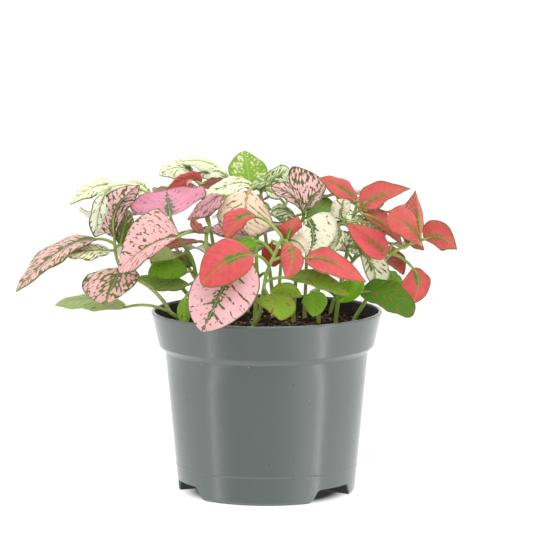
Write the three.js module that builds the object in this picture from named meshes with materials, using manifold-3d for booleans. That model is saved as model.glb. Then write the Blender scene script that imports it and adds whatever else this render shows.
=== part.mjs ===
// Potted polka dot plant: a three-footed nursery pot, its soil, and leafy stems of pink, white and red kinds.
// Millimetres, Z up, the front of the plant towards -Y. The pot's axis is the working origin.
import * as THREE from "three";
import { mergeVertices } from "three/addons/utils/BufferGeometryUtils.js";
import Module from "manifold-3d";

const wasm = await Module();
wasm.setup();

// Driving dimensions, mm
const POT_HEIGHT = 95;
const RIM_RADIUS = 60; // outside, at the top edge
const RIM_LOW_RADIUS = 56.1; // outside, at the band's lower corner
const RIM_LOW_Z = 77.2;
const NECK_RADIUS = 52.7; // where the band's chamfer meets the body
const NECK_Z = 74;
const FOOT_RADIUS = 46;
const FOOT_ROUND = 2.2; // rounding of the feet's lower edge
const WALL = 1.4;
const POT_SIDES = 40;
const CHANNEL_HEIGHT = 7; // raised channels between the three feet
const CHANNEL_HALF_FOOT = 15.3;
const CHANNEL_HALF_TOP = 11.4;
const CHANNEL_TURNS = [50, 172, 294]; // degrees from the front, to the right
const DRAIN_RADIUS = 4;
const SOIL_Z = 88;
const SOIL_GAP = 0.3;
const HOLE_DEPTH = 13;
const HOLE_GAP = 0.9;
const STEM_RADIUS = 1.35;
const PETIOLE_RADIUS = 0.85;
const BLADE_THICKNESS = 0.75;
const LONG_BLADE = 27; // a blade longer than this has five columns of points, not three

// The view that the leaves are laid out in: across and up on a sheet through the pot's axis,
// square to a line of sight from EYE away that dips by DIP, and back along +Y.
const EYE = 2000;
const DIP = THREE.MathUtils.degToRad(7.62);
const AIM_Z = 117.8;
const AIM_X = -0.09;
const cosDip = Math.cos(DIP);
const sinDip = Math.sin(DIP);

function sight([across, up, back]) {
  const rise = up - AIM_Z * cosDip;
  const z = AIM_Z + (rise * (1 + (back * cosDip) / EYE) - back * sinDip) / (cosDip + (rise * sinDip) / EYE);
  const reach = EYE + back * cosDip - (z - AIM_Z) * sinDip;
  return new THREE.Vector3(AIM_X + (across * reach) / EYE, back, z);
}

// Stems: paths of [across, up, back], soil first
const STEMS = {
  pink_stem_1: [[-43, 84, -13], [-50, 93, -13], [-53, 98, -12], [-60, 105.5, -10], [-67, 110, -8],
    [-75, 115, -6], [-78, 122, -4], [-79, 131, -3]],
  pink_stem_2: [[-30, 84, 8], [-36, 110, 8], [-39, 121.5, 6], [-44.5, 130, 4], [-49.5, 141, 0]],
  pink_stem_3: [[-20, 82, -16], [-26, 108, -14], [-31, 126, -10], [-31, 134, -8], [-29.5, 137.5, -6],
    [-31, 142, -3], [-26, 149, 1], [-21, 153, 6]],
  pink_stem_4: [[14, 84, 10], [16, 120, 8], [18, 138, 5], [19.5, 144, 4]],
  pink_stem_5: [[-6, 83, -4], [-5, 110, -4], [-5, 130, -4], [-2, 140, 1], [1, 147, 6]],
  white_stem_1: [[-34, 86, 20], [-46, 108, 18], [-58, 120, 16], [-73, 126, 14], [-79, 136, 13],
    [-80, 150, 13], [-80, 157, 13]],
  white_stem_2: [[4, 86, 24], [1, 120, 24], [-2, 145, 25], [-3, 156, 26]],
  white_stem_3: [[27, 84, 0], [27, 110, -2], [30, 128, -4], [36, 137, -6], [41, 140, -6]],
  white_stem_4: [[-10, 90, 44], [-13, 120, 48], [-16, 150, 52], [-20, 163, 54]],
  red_stem_1: [[-8, 80, -42], [-4, 91, -42], [-2, 102, -42], [0, 113, -42], [1.5, 117, -42], [5.5, 126, -41],
    [8, 132, -39]],
  red_stem_2: [[-20, 88, 32], [-26, 120, 34], [-32, 150, 37], [-35, 160, 39]],
  red_stem_3: [[36, 83, -6], [39, 110, -4], [43, 130, -2], [45, 142, -2], [47, 149, -5]],
  red_stem_4: [[45, 82, -14], [52, 100, -12], [58, 114, -10], [63, 122, -9], [70, 126.5, -9],
    [80, 130.3, -9]],
};

// Leaves: stem, how far along its path the leaf stalk starts, then base, middle of the midrib, tip and the
// widest points of the two sides, each [across, up, back]. The next value is where the blade is widest, and the
// last, where there is one, is its fullness: 1 is an oval, 2 and over has drawn-out ends.
const LEAVES = [
  // far left, pink
  ["pink_stem_1", 6.7, [-88, 131, -4], [-108, 124, -9], [-130, 103.5, -18],
    [-113, 127.5, 5], [-105, 120.5, -20], 0.45, 1.6],
  ["pink_stem_1", 6.3, [-81, 125, -3], [-92, 124.5, -8], [-105, 123.5, -12],
    [-93, 129, 5], [-92, 120.3, -18], 0.4],
  ["pink_stem_1", 5.0, [-75, 116, -20], [-79.5, 107.5, -27], [-84, 97, -29],
    [-95.5, 109, -25], [-66.5, 110, -26], 0.5, 1.3],
  ["pink_stem_1", 6.5, [-76, 128, -4], [-74, 137, -5], [-72, 146, -3],
    [-78.5, 136, -1], [-69, 137, -3], 0.4],
  ["pink_stem_1", 7.0, [-79, 132, -4], [-77.8, 147, -8], [-66, 159, -5],
    [-88, 146, 0], [-70.5, 148.5, -2], 0.45],
  ["pink_stem_1", 1.0, [-73, 95.6, -10], [-92, 99, -8], [-110, 96.5, -9],
    [-89, 102.4, 5], [-91, 94.2, -18], 0.4],
  // left, pink, arching over
  ["pink_stem_3", 3.0, [-46, 132, -18], [-61, 127.5, -30], [-77, 114, -38],
    [-60, 145.8, -12], [-62.5, 119.5, -38], 0.42],
  ["pink_stem_2", 4.0, [-50, 143, -2], [-51, 150, 13], [-52, 156.5, 28],
    [-71.5, 148.5, 12], [-31.5, 156, 15], 0.42],
  ["pink_stem_2", 2.2, [-48, 121, 0], [-55, 124, -1], [-63, 124, -4],
    [-56, 128.5, 5], [-56, 119.5, -7], 0.4],
  ["pink_stem_2", 1.3, [-41, 114, 3], [-50, 116, 0], [-61.5, 112.5, -4],
    [-51, 122, 7], [-48, 110, -7], 0.42],
  ["pink_stem_2", 1.6, [-38, 117, 12], [-42, 119.5, 12], [-48, 121, 11],
    [-41, 123.5, 16], [-44, 115.5, 8], 0.45],
  ["pink_stem_2", 0.9, [-40, 107.5, 3], [-52, 108.5, 2], [-66.5, 111, 0],
    [-53, 112.3, 9], [-54, 104, -5], 0.42],
  ["pink_stem_2", 0.7, [-42, 101, -10], [-43, 94, -17], [-42, 86, -22],
    [-46.5, 93, -17], [-39, 94, -15], 0.45],
  // middle, pink
  ["pink_stem_3", 1.2, [-15, 122, -46], [-24, 102.5, -62], [-33.5, 83, -65],
    [-39, 107, -57], [-5, 101, -60], 0.5, 1.15],
  ["pink_stem_3", 7.0, [-23, 153.6, 5], [-31, 149, 2], [-41, 141, -2],
    [-31, 152.7, 9], [-27, 144.8, -8], 0.42],
  ["pink_stem_3", 3.0, [-32.5, 134.5, -10], [-36.5, 137, -12], [-38, 142.5, -11],
    [-34, 139, -8], [-39, 137, -15], 0.4],
  ["pink_stem_5", 2.1, [-8.5, 132, -12], [-17, 134, -17], [-29, 136.5, -19],
    [-18, 140, -10], [-17, 130.3, -24], 0.42],
  ["pink_stem_5", 2.7, [-5, 139, 4], [-10, 137, 1], [-17, 137.5, -1],
    [-9, 140.7, 7], [-9, 132.7, -4], 0.42],
  ["pink_stem_5", 4.0, [-1, 148.5, 12], [-5, 152, 13], [-10, 152.5, 13],
    [-5, 154.3, 18], [-5, 149, 8], 0.42],
  ["pink_stem_5", 3.4, [2, 146.5, 9], [-3, 147.8, 10], [-9, 149, 9],
    [-3, 151, 13], [-4, 144.5, 4.5], 0.42],
  // centre-right, pink and green
  ["pink_stem_4", 3.0, [19.5, 145, 4], [24.5, 152.5, 9], [30.7, 160.5, 15],
    [12.3, 167.3, 15], [28.5, 152.3, 3], 0.55, 1.75],
  ["pink_stem_4", 2.9, [19, 145, 2], [13.5, 153.5, -2], [2.5, 158.5, -5],
    [9.5, 151.8, -9], [14, 158.5, 6], 0.42],
  ["pink_stem_4", 2.4, [20.5, 142, 8], [27, 145.3, 10], [36, 148.3, 14],
    [27, 152.5, 20], [28, 143, 2], 0.45],
  ["pink_stem_4", 2.1, [15, 142.5, 4], [9, 146, 1], [2.5, 145.5, 0],
    [8, 149, 6], [8, 141.5, -7], 0.42],
  // upper left, white
  ["white_stem_1", 6.0, [-84, 154, -6], [-87.5, 144, -15], [-88, 132.3, -14],
    [-91.7, 144, -20], [-82.3, 144, -6], 0.42],
  ["white_stem_1", 6.0, [-79, 158.5, 20], [-90, 157.5, 23], [-102, 149, 24],
    [-90.5, 161, 31], [-88.5, 153.3, 14], 0.42],
  ["white_stem_1", 6.0, [-67, 157.5, 12], [-77, 158.5, 9], [-88, 154, 7],
    [-77.5, 160.5, 17], [-76.5, 154.8, 1], 0.42],
  ["white_stem_1", 6.0, [-60, 153.5, 34], [-67, 160, 35], [-76, 159, 37],
    [-66, 162, 44], [-66, 152.5, 24], 0.42],
  // top, white
  ["white_stem_4", 2.8, [-38, 165, 60], [-46, 168, 60], [-55.5, 164, 58],
    [-47, 172, 69], [-46, 162.3, 50], 0.45],
  ["white_stem_4", 3.0, [-22, 165, 62], [-33, 171, 64], [-45.5, 170.5, 64],
    [-34, 173, 74], [-32, 166, 52], 0.42],
  ["white_stem_4", 3.0, [-19.5, 162, 56], [-26.5, 166, 55], [-34.5, 163, 53],
    [-26.5, 169, 63], [-26.5, 160.8, 48.5], 0.42],
  ["white_stem_2", 3.0, [-6.5, 157.4, 22.5], [-17.5, 159.5, 20], [-33.5, 151.3, 13],
    [-19, 163, 27], [-17, 154.3, 11], 0.42],
  ["white_stem_2", 3.0, [-8.5, 159, 30], [-10, 168.5, 40], [-11.5, 177, 53],
    [-19.8, 166.5, 36], [0.8, 166, 34], 0.45, 1.6],
  ["white_stem_2", 3.0, [-8.5, 157, 12], [-11, 146, 0], [-9, 133, -8],
    [-25.5, 143, 2], [3, 141, -4], 0.58, 1.2],
  ["white_stem_2", 3.0, [1, 160, 34], [6, 164, 34], [11.8, 166.5, 31],
    [4, 168, 41], [9, 158.5, 28], 0.45],
  ["white_stem_2", 2.9, [0, 157.5, 20], [3.5, 155.5, 15], [7.5, 152, 12],
    [4, 158, 18], [1.3, 153, 13], 0.42],
  ["white_stem_2", 3.0, [2, 160, 30], [-2, 160.7, 26], [-8, 158.7, 22],
    [-3, 162.5, 31], [-2, 157.7, 19], 0.42],
  // centre-right, white
  ["white_stem_3", 3.0, [21.5, 141, -10], [24.5, 131, -18], [20.5, 121.5, -21],
    [16.3, 134, -14], [36, 141.5, -10], 0.3],
  ["white_stem_3", 3.2, [38, 136, -11], [37, 130, -14], [34, 124, -16],
    [31.8, 131, -12], [41, 130, -13], 0.42],
  ["white_stem_3", 4.0, [38.5, 141, 0], [39, 147, 6], [41, 154, 14],
    [33.5, 147.5, 5], [43.5, 147, 7], 0.45],
  ["white_stem_3", 3.6, [44, 136, -12], [45.5, 130, -15], [44, 123.5, -17],
    [39.7, 129.5, -13], [52, 130, -14], 0.42],
  ["white_stem_3", 4.0, [43, 139.5, -12], [49, 140, -15], [56, 136.5, -16],
    [49, 143.5, -10], [48, 135.8, -19], 0.42],
  ["white_stem_3", 2.4, [48, 125.5, -13], [54.5, 118, -15.5], [57, 107, -15],
    [63.5, 116.5, -15], [51, 114, -16], 0.6, 1.2],
  // front, red
  ["red_stem_1", 4.0, [-7, 122.5, -56], [-20, 119.5, -66], [-33.8, 107.3, -70],
    [-25, 130, -59], [-14.5, 110, -72], 0.45, 1.2],
  ["red_stem_1", 4.3, [20, 121, -43], [34, 119.5, -51], [52, 108.5, -53],
    [31, 126.5, -43], [29.5, 113.5, -58], 0.42, 1.6],
  ["red_stem_1", 5.6, [10.5, 130, -43], [13.5, 122, -56], [10, 111, -64],
    [7.3, 121, -53], [19.3, 119.5, -54], 0.5],
  ["red_stem_1", 5.4, [10.5, 129.5, -35], [12.3, 135.5, -38], [16.5, 142.7, -33],
    [5.3, 136, -33], [18.3, 137, -34], 0.5],
  ["red_stem_1", 5.5, [11, 130, -33], [16, 129.5, -36], [20.5, 124, -38],
    [17.5, 134, -30], [12.5, 124, -40], 0.45],
  ["red_stem_1", 6.0, [-5, 142.5, -25], [-13.5, 141.5, -30], [-20.8, 131.3, -35],
    [-18.5, 146, -22], [-11.5, 138, -36], 0.45],
  ["red_stem_1", 5.2, [2.5, 129, -24], [3, 123, -26], [4, 116.5, -28],
    [-2.5, 123, -23], [8.3, 123, -24], 0.42],
  ["red_stem_1", 4.6, [-4, 130, -33], [-12, 129.3, -36], [-21, 129.5, -38],
    [-12, 131.8, -30], [-13, 124.5, -42], 0.42],
  ["red_stem_1", 3.0, [-3.5, 111.5, -34], [-8, 113, -38], [-14.5, 113, -41],
    [-8, 118.8, -35], [-8, 109, -40], 0.42],
  ["red_stem_1", 2.3, [0.5, 102, -47], [5, 97, -54], [7, 88.8, -57],
    [-6.5, 98, -52], [14.7, 98, -52], 0.42],
  ["red_stem_1", 2.1, [2, 101, -38], [10, 106, -37], [18.5, 101, -38],
    [9, 108.5, -33], [11, 100, -41], 0.45],
  ["red_stem_1", 2.6, [12, 110.5, -44], [27, 110, -51], [43, 102, -54],
    [24, 115.5, -44], [26, 106, -57], 0.42],
  // right of the middle, green and low
  ["red_stem_3", 0.6, [37, 98, -34], [43, 104, -38], [47.5, 112, -41],
    [37, 106.5, -36], [49.5, 103, -38], 0.45],
  ["red_stem_3", 0.5, [23, 103.5, -38], [25, 98, -42], [24, 90.7, -48],
    [18.3, 98, -40], [31.5, 99, -43], 0.42],
  // right, red
  ["red_stem_3", 4.0, [45.5, 150.5, -10], [38.5, 157, -9], [27, 162.5, -12],
    [42, 160.7, -2], [36.5, 152.5, -19], 0.4, 1.6],
  ["red_stem_3", 4.0, [49, 148.5, -7], [60, 154, -5], [75.3, 157.2, -4],
    [54, 160, 3], [56, 146.5, -15], 0.32, 1.8],
  ["red_stem_3", 3.2, [49.5, 144.5, -16], [60, 139.5, -15], [70.3, 127.8, -14],
    [62, 144, -6], [57, 138, -17], 0.42],
  ["red_stem_3", 4.0, [47.5, 148, -11], [50, 147.5, -14], [52.5, 145.3, -16],
    [50.5, 149.5, -12], [48.5, 145.3, -15], 0.45],
  ["red_stem_4", 5.0, [80.4, 127.8, -11.2], [72.5, 138.2, -24], [62.3, 141.7, -31],
    [73.5, 146.5, -16], [69, 132.5, -33], 0.48, 1.6],
  ["red_stem_4", 5.0, [80, 133, 0], [79, 144, 4], [77.2, 156.8, 9],
    [72, 145, 6], [81.5, 141, 9], 0.38, 2.1],
  ["red_stem_4", 4.6, [71, 132.5, -1], [76.5, 130.3, -4], [82, 125.3, -6],
    [77, 133, 2], [74, 128, -8], 0.42],
  ["red_stem_4", 5.0, [82, 130.7, -11], [90.5, 131.8, -14], [99.2, 125.2, -17],
    [87, 141, -8], [90, 125.6, -19], 0.36, 1.9],
  ["red_stem_4", 3.0, [62.5, 122.5, -15], [54.5, 129, -24], [41, 139.7, -29],
    [60, 134.5, -21], [51.5, 123.3, -33], 0.29, 1.5],
  ["red_stem_4", 3.3, [76, 116, -8], [79, 108, -14], [75.3, 97.3, -18],
    [85, 109.5, -8], [68.5, 106.5, -20], 0.45, 1.2],
  ["red_stem_4", 2.2, [61, 115.3, -4], [66, 112, -7], [72, 106, -8],
    [67.5, 113.5, 0], [64, 109, -12], 0.42],
  ["red_stem_4", 1.0, [48.5, 103, -23], [62, 102.5, -28], [77, 93.5, -30],
    [64, 109.7, -19], [62, 94.5, -38], 0.5, 0.9],
  // top left, red, behind
  ["red_stem_2", 3.0, [-36, 160.5, 38], [-41, 162, 38], [-53, 155.8, 34],
    [-38, 166, 45], [-40.5, 157.5, 31], 0.35],
  ["red_stem_2", 3.0, [-34, 159.5, 38], [-28, 161, 37], [-21, 162, 37],
    [-28, 162.7, 42], [-28.5, 157.5, 30], 0.42],
];

// Hidden side. Stems that lean back: foot [x, y] and head [x, y, z].
const BACK_STEMS = {
  pink_stem_6: { foot: [-31, 35], head: [-57, 62, 132] },
  white_stem_5: { foot: [6, 46], head: [10, 68, 142] },
  red_stem_5: { foot: [34, 32], head: [57, 50, 134] },
  pink_stem_7: { foot: [20, 22], head: [22, 32, 146] },
};

// Their leaves and those behind the visible ones: stem, place along its path, length, lift of the blade
// above level and turn about the stem, both in degrees, the turn from +X towards +Y.
const HIDDEN_LEAVES = [
  ["pink_stem_6", 2.35, 24, -2, 65],
  ["pink_stem_6", 2.35, 26, -2, 245],
  ["pink_stem_6", 2.7, 34, 2, 165],
  ["pink_stem_6", 2.7, 30, 2, 345],
  ["pink_stem_6", 3, 36, 20, 70],
  ["pink_stem_6", 3, 34, 20, 250],
  ["white_stem_5", 2.3, 30, -6, 80],
  ["white_stem_5", 2.3, 24, -4, 220],
  ["white_stem_5", 2.72, 36, 2, 150],
  ["white_stem_5", 2.72, 36, 2, 340],
  ["white_stem_5", 3, 34, 22, 60],
  ["white_stem_5", 3, 32, 24, 240],
  ["red_stem_5", 2.3, 30, -4, 120],
  ["red_stem_5", 2.3, 32, -4, 310],
  ["red_stem_5", 2.7, 36, 2, 30],
  ["red_stem_5", 2.7, 28, 2, 200],
  ["red_stem_5", 3, 34, 20, 100],
  ["red_stem_5", 3, 34, 20, 290],
  ["pink_stem_7", 2.6, 28, 5, 30],
  ["pink_stem_7", 2.6, 26, 5, 215],
  ["pink_stem_7", 3, 28, 20, 100],
  ["pink_stem_7", 3, 28, 20, 325],
  ["white_stem_4", 3.2, 34, 10, 100],
  ["white_stem_4", 2.4, 32, -2, 75],
  ["red_stem_2", 3.0, 34, 5, 130],
  ["red_stem_2", 2.2, 27, -4, 200],
  ["white_stem_1", 5, 34, 4, 110],
  ["white_stem_1", 3, 30, -4, 120],
  ["red_stem_3", 4, 34, 5, 75],
  ["red_stem_3", 3, 30, -2, 60],
  ["red_stem_4", 4, 30, 0, 75],
  ["white_stem_2", 3, 30, -2, 100],
];
const HIDDEN_STALK = 0.32; // share of the leaf's length
const HIDDEN_HALF_WIDTH = 0.31;
const HIDDEN_FOLD = 0.07;

function seeded(seed) {
  let a = seed >>> 0;
  return () => {
    a = (a + 0x6d2b79f5) >>> 0;
    let t = Math.imul(a ^ (a >>> 15), 1 | a);
    t = (t + Math.imul(t ^ (t >>> 7), 61 | t)) ^ t;
    return ((t ^ (t >>> 14)) >>> 0) / 4294967296;
  };
}

// Solids
const MERGE = 2e-3;

function solidOf(geometry, reach = 1e-4) {
  const bare = new THREE.BufferGeometry();
  const flat = geometry.index ? geometry.toNonIndexed() : geometry;
  bare.setAttribute("position", flat.getAttribute("position"));
  const merged = mergeVertices(bare, reach);
  const mesh = new wasm.Mesh({
    numProp: 3,
    vertProperties: new Float32Array(merged.attributes.position.array),
    triVerts: new Uint32Array(merged.index.array),
  });
  return new wasm.Manifold(mesh);
}

function geometryOf(solid) {
  const out = solid.getMesh();
  const stride = out.numProp;
  const positions = new Float32Array(out.numVert * 3);
  for (let i = 0; i < out.numVert; i++) {
    positions.set(out.vertProperties.subarray(i * stride, i * stride + 3), i * 3);
  }
  const geometry = new THREE.BufferGeometry();
  geometry.setAttribute("position", new THREE.BufferAttribute(positions, 3));
  geometry.setIndex(new THREE.BufferAttribute(new Uint32Array(out.triVerts), 1));
  return geometry;
}

// The solid as a mesh moved by shift, with points nearer than MERGE joined and any scrap that frees dropped.
function meshOf(solid, name, material, shift) {
  const moved = geometryOf(solid).translate(shift.x, shift.y, shift.z);
  const geometry = geometryOf(filled(solidOf(moved, MERGE)));
  geometry.computeVertexNormals();
  const mesh = new THREE.Mesh(geometry, material);
  mesh.name = name;
  return mesh;
}

function lathe(profile, sides) {
  const points = profile.map(([r, z]) => new THREE.Vector2(r, z));
  const geometry = new THREE.LatheGeometry(points, sides);
  geometry.rotateX(Math.PI / 2);
  return solidOf(geometry);
}

function tube(points, radius, sides, steps) {
  const shape = new THREE.Shape();
  for (let i = 0; i < sides; i++) {
    const a = (2 * Math.PI * i) / sides;
    const x = radius * Math.cos(a);
    const y = radius * Math.sin(a);
    if (i === 0) shape.moveTo(x, y);
    else shape.lineTo(x, y);
  }
  shape.closePath();
  const path = new THREE.CatmullRomCurve3(points);
  return solidOf(new THREE.ExtrudeGeometry(shape, { steps, bevelEnabled: false, extrudePath: path }));
}

// A point on a path of straight spans, where 2.5 is halfway from the third point to the fourth.
function along(points, at) {
  const i = Math.min(Math.floor(at), points.length - 2);
  return points[i].clone().lerp(points[i + 1], at - i);
}

// The blade's surface. The midrib is a quadratic curve through base, middle and tip. Each side is a width
// vector that turns with the midrib and shrinks as t^p * (1-t)^q, with a low belly, and a waved margin.
const FULLNESS = 1.35;
const BELLY = 0.1;
const WAVE = 0.055;
const WAVES = 2.5;

function bladeOf({ base, middle, tip, left, right, widest, fullness, phase }) {
  const bend = middle.clone().multiplyScalar(2).addScaledVector(base, -0.5).addScaledVector(tip, -0.5);
  const rib = (t) =>
    base
      .clone()
      .multiplyScalar((1 - t) * (1 - t))
      .addScaledVector(bend, 2 * t * (1 - t))
      .addScaledVector(tip, t * t);
  const heading = (t) =>
    bend
      .clone()
      .sub(base)
      .multiplyScalar(2 * (1 - t))
      .addScaledVector(tip.clone().sub(bend), 2 * t)
      .normalize();
  const home = rib(widest);
  const homeHeading = heading(widest);
  const toLeft = left.clone().sub(home);
  const toRight = right.clone().sub(home);
  const span = (toLeft.length() + toRight.length()) / 2;
  const p = fullness * widest;
  const q = fullness * (1 - widest);
  const share = (t) => Math.pow(t / widest, p) * Math.pow((1 - t) / (1 - widest), q);
  return (t, s) => {
    const turn = new THREE.Quaternion().setFromUnitVectors(homeHeading, heading(t));
    const l = toLeft.clone().applyQuaternion(turn);
    const r = toRight.clone().applyQuaternion(turn);
    const up = l.clone().sub(r).cross(heading(t)).normalize();
    const width = share(Math.min(Math.max(t, 0.0001), 0.9999));
    const out = Math.abs(s);
    const ripple = WAVE * Math.sin(2 * Math.PI * WAVES * t + phase + (s < 0 ? 1.9 : 0)) * out * out;
    const lift = span * width * (ripple - BELLY * 4 * out * (1 - out));
    return rib(t)
      .addScaledVector(s < 0 ? l : r, width * out)
      .addScaledVector(up, -lift);
  };
}

function normalAt(surface, t, s) {
  const e = 0.01;
  const alongRib = surface(Math.min(t + e, 1), s).sub(surface(Math.max(t - e, 0), s));
  const across = surface(t, Math.min(s + e, 1)).sub(surface(t, Math.max(s - e, -1)));
  return across.cross(alongRib).normalize();
}

const LONG_ROWS = [[0.18, 1], [0.4, 2], [0.65, 2], [0.87, 1]];
const SHORT_ROWS = [[0.2, 1], [0.47, 1], [0.78, 1]];

// A leaf as one closed body: a square stalk that starts in the stem and widens into a thin blade. Rows of
// points above, their copies below, split into triangles alike, and a wall round the margin.
function leafSolid(surface, start, base, rows) {
  const top = [];
  const low = [];
  const lines = [];
  const rise = start.distanceTo(base);
  const over = surface(0.12, 1).sub(surface(0.12, -1)).normalize();
  const bow = start.clone().lerp(base, 0.5);
  bow.z += 0.1 * rise;
  const path = new THREE.QuadraticBezierCurve3(start, bow.multiplyScalar(2).addScaledVector(start, -0.5)
    .addScaledVector(base, -0.5), base);
  const spans = rise > 18 ? 3 : 2;
  for (let k = 0; k <= spans; k++) {
    const spot = path.getPoint(k / spans);
    const heading = path.getTangent(k / spans);
    const side = over.clone().addScaledVector(heading, -over.dot(heading)).normalize();
    const up = side.clone().cross(heading).normalize();
    lines.push([-1, 1].map((sign) => {
      const edge = spot.clone().addScaledVector(side, sign * PETIOLE_RADIUS);
      top.push(edge.clone().addScaledVector(up, PETIOLE_RADIUS));
      low.push(edge.clone().addScaledVector(up, -PETIOLE_RADIUS));
      return top.length - 1;
    }));
  }
  const put = (t, s) => {
    const spot = surface(t, s);
    const n = normalAt(surface, Math.min(t, 0.95), s);
    top.push(spot.clone().addScaledVector(n, BLADE_THICKNESS / 2));
    low.push(spot.clone().addScaledVector(n, -BLADE_THICKNESS / 2));
    return top.length - 1;
  };
  for (const [t, half] of rows) {
    const line = [];
    for (let i = -half; i <= half; i++) line.push(put(t, i / half));
    lines.push(line);
  }
  lines.push([put(1, 0)]);
  const faces = [];
  for (let k = 0; k + 1 < lines.length; k++) {
    const a = lines[k];
    const b = lines[k + 1];
    let i = 0;
    let j = 0;
    while (i < a.length - 1 || j < b.length - 1) {
      const stepA = i < a.length - 1 ? (i + 1) / (a.length - 1) : 2;
      const stepB = j < b.length - 1 ? (j + 1) / (b.length - 1) : 2;
      if (stepA <= stepB) {
        faces.push([a[i], a[i + 1], b[j]]);
        i++;
      } else {
        faces.push([a[i], b[j + 1], b[j]]);
        j++;
      }
    }
  }
  const count = top.length;
  const index = [];
  for (const [a, b, c] of faces) {
    index.push(a, b, c);
    index.push(count + a, count + c, count + b);
  }
  const rim = lines.map((line) => line[0]);
  for (let k = lines.length - 2; k >= 0; k--) rim.push(lines[k][lines[k].length - 1]);
  for (let k = 0; k < rim.length; k++) {
    const a = rim[k];
    const b = rim[(k + 1) % rim.length];
    index.push(a, b, count + b);
    index.push(a, count + b, count + a);
  }
  const all = [...top, ...low];
  const positions = new Float32Array(all.length * 3);
  all.forEach((v, i) => v.toArray(positions, i * 3));
  const mesh = new wasm.Mesh({ numProp: 3, vertProperties: positions, triVerts: new Uint32Array(index) });
  return new wasm.Manifold(mesh);
}

// A fused body without the small hollows that fusing seals, and without scraps.
function filled(solid) {
  return solid.decompose().sort((a, b) => b.volume() - a.volume())[0];
}

const SEED = 20;

export const grown = []; // every blade, stalk and stem with its plant's name, for looking at one by one
const holes = [];
const bodies = new Map();
const paths = new Map();
export const pathOf = (name) => paths.get(name);
export const hiddenRows = HIDDEN_LEAVES;

export function solidOfLeaf(leaf) {
  const surface = bladeOf(leaf);
  const length = leaf.base.distanceTo(leaf.middle) + leaf.middle.distanceTo(leaf.tip);
  return leafSolid(surface, leaf.start, leaf.base, length > LONG_BLADE ? LONG_ROWS : SHORT_ROWS);
}

function grow(name, points, leaves) {
  paths.set(name, points);
  const pieces = [tube(points, STEM_RADIUS, 5, points.length + 3)];
  grown.push({ name, kind: "stem", tag: 0, solid: pieces[0] });
  holes.push(points[0]);
  for (const leaf of leaves) {
    const solid = solidOfLeaf(leaf);
    grown.push({ name, kind: "leaf", tag: leaf.tag, hidden: leaf.hidden, solid });
    pieces.push(solid);
  }
  bodies.set(name, filled(wasm.Manifold.union(pieces)));
}

function backPath({ foot, head }) {
  const low = new THREE.Vector3(...foot, SOIL_Z - HOLE_DEPTH + 2);
  const high = new THREE.Vector3(...head);
  return [low, low.clone().setZ(SOIL_Z + 2), low.clone().lerp(high, 0.3).setZ(107), high];
}

// A leaf that stands out from its stem at a turn and droops towards its tip.
export function hiddenLeaf([name, at, length, lift, turn], points) {
  const azimuth = THREE.MathUtils.degToRad(turn);
  const climb = THREE.MathUtils.degToRad(lift);
  const out = new THREE.Vector3(Math.cos(azimuth), Math.sin(azimuth), 0);
  const over = new THREE.Vector3(-out.y, out.x, 0);
  const start = along(points, at);
  const reach = HIDDEN_STALK * length;
  const base = start.clone().addScaledVector(out, reach).setZ(start.z + 0.5 * reach);
  const step = (d, drop) =>
    base
      .clone()
      .addScaledVector(out, d * length * Math.cos(climb))
      .setZ(base.z + length * (d * Math.sin(climb) - drop));
  const broad = step(0.4, 0);
  const half = HIDDEN_HALF_WIDTH * length;
  const fold = HIDDEN_FOLD * length;
  const left = broad.clone().addScaledVector(over, half);
  const right = broad.clone().addScaledVector(over, -half);
  left.z += fold * (1 + Math.sin(turn));
  right.z += fold * (1 + Math.cos(length));
  return {
    hidden: true,
    tag: turn,
    start,
    base,
    middle: step(0.5, 0.02),
    tip: step(0.93, 0.2),
    left,
    right,
    widest: 0.4,
    fullness: FULLNESS,
    phase: (turn * 0.7) % 6,
  };
}

// Plants: visible stems by their table, hidden ones by their rule
for (const name of Object.keys(STEMS)) {
  const points = STEMS[name].map(sight);
  // the foot stands upright in its hole
  const foot = points.shift();
  points.unshift(foot.clone().setZ(SOIL_Z - HOLE_DEPTH + 2), foot.clone().setZ(SOIL_Z + 2));
  const leaves = LEAVES.map((row, i) => ({ row, i }))
    .filter(({ row }) => row[0] === name)
    .map(({ row, i }) => ({
      tag: i,
      start: along(points, row[1] + 1),
      base: sight(row[2]),
      middle: sight(row[3]),
      tip: sight(row[4]),
      left: sight(row[5]),
      right: sight(row[6]),
      widest: row[7],
      fullness: row[8] ?? FULLNESS,
      phase: (i * 1.7) % (2 * Math.PI),
    }));
  for (const row of HIDDEN_LEAVES) if (row[0] === name) leaves.push(hiddenLeaf(row, points));
  grow(name, points, leaves);
}

for (const [name, plan] of Object.entries(BACK_STEMS)) {
  const points = backPath(plan);
  const rows = HIDDEN_LEAVES.filter((row) => row[0] === name);
  grow(name, points, rows.map((row) => hiddenLeaf(row, points)));
}

// Pot and soil
function channel(turn, extra) {
  const top = CHANNEL_HEIGHT + extra;
  const foot = CHANNEL_HALF_FOOT + extra;
  const crown = CHANNEL_HALF_TOP + extra;
  const side = [[foot + 2.1, -5], [foot + 2.1, 0], [foot + 0.5, 0.7], [foot - 0.7, 2.2], [crown + 1.6, top - 2],
    [crown + 0.6, top - 0.6], [crown - 0.9, top]];
  const other = side.map(([half, z]) => [-half, z]).reverse();
  const shape = new THREE.Shape([...side, ...other].map(([half, z]) => new THREE.Vector2(half, z)));
  const geometry = new THREE.ExtrudeGeometry(shape, { depth: 80, bevelEnabled: false });
  // the extrusion runs along +Z of the shape: stand it up and turn it outwards
  geometry.rotateX(Math.PI / 2);
  geometry.rotateZ(THREE.MathUtils.degToRad(turn));
  return solidOf(geometry);
}

function channels(extra) {
  return wasm.Manifold.union(CHANNEL_TURNS.map((turn) => channel(turn, extra)));
}

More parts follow.
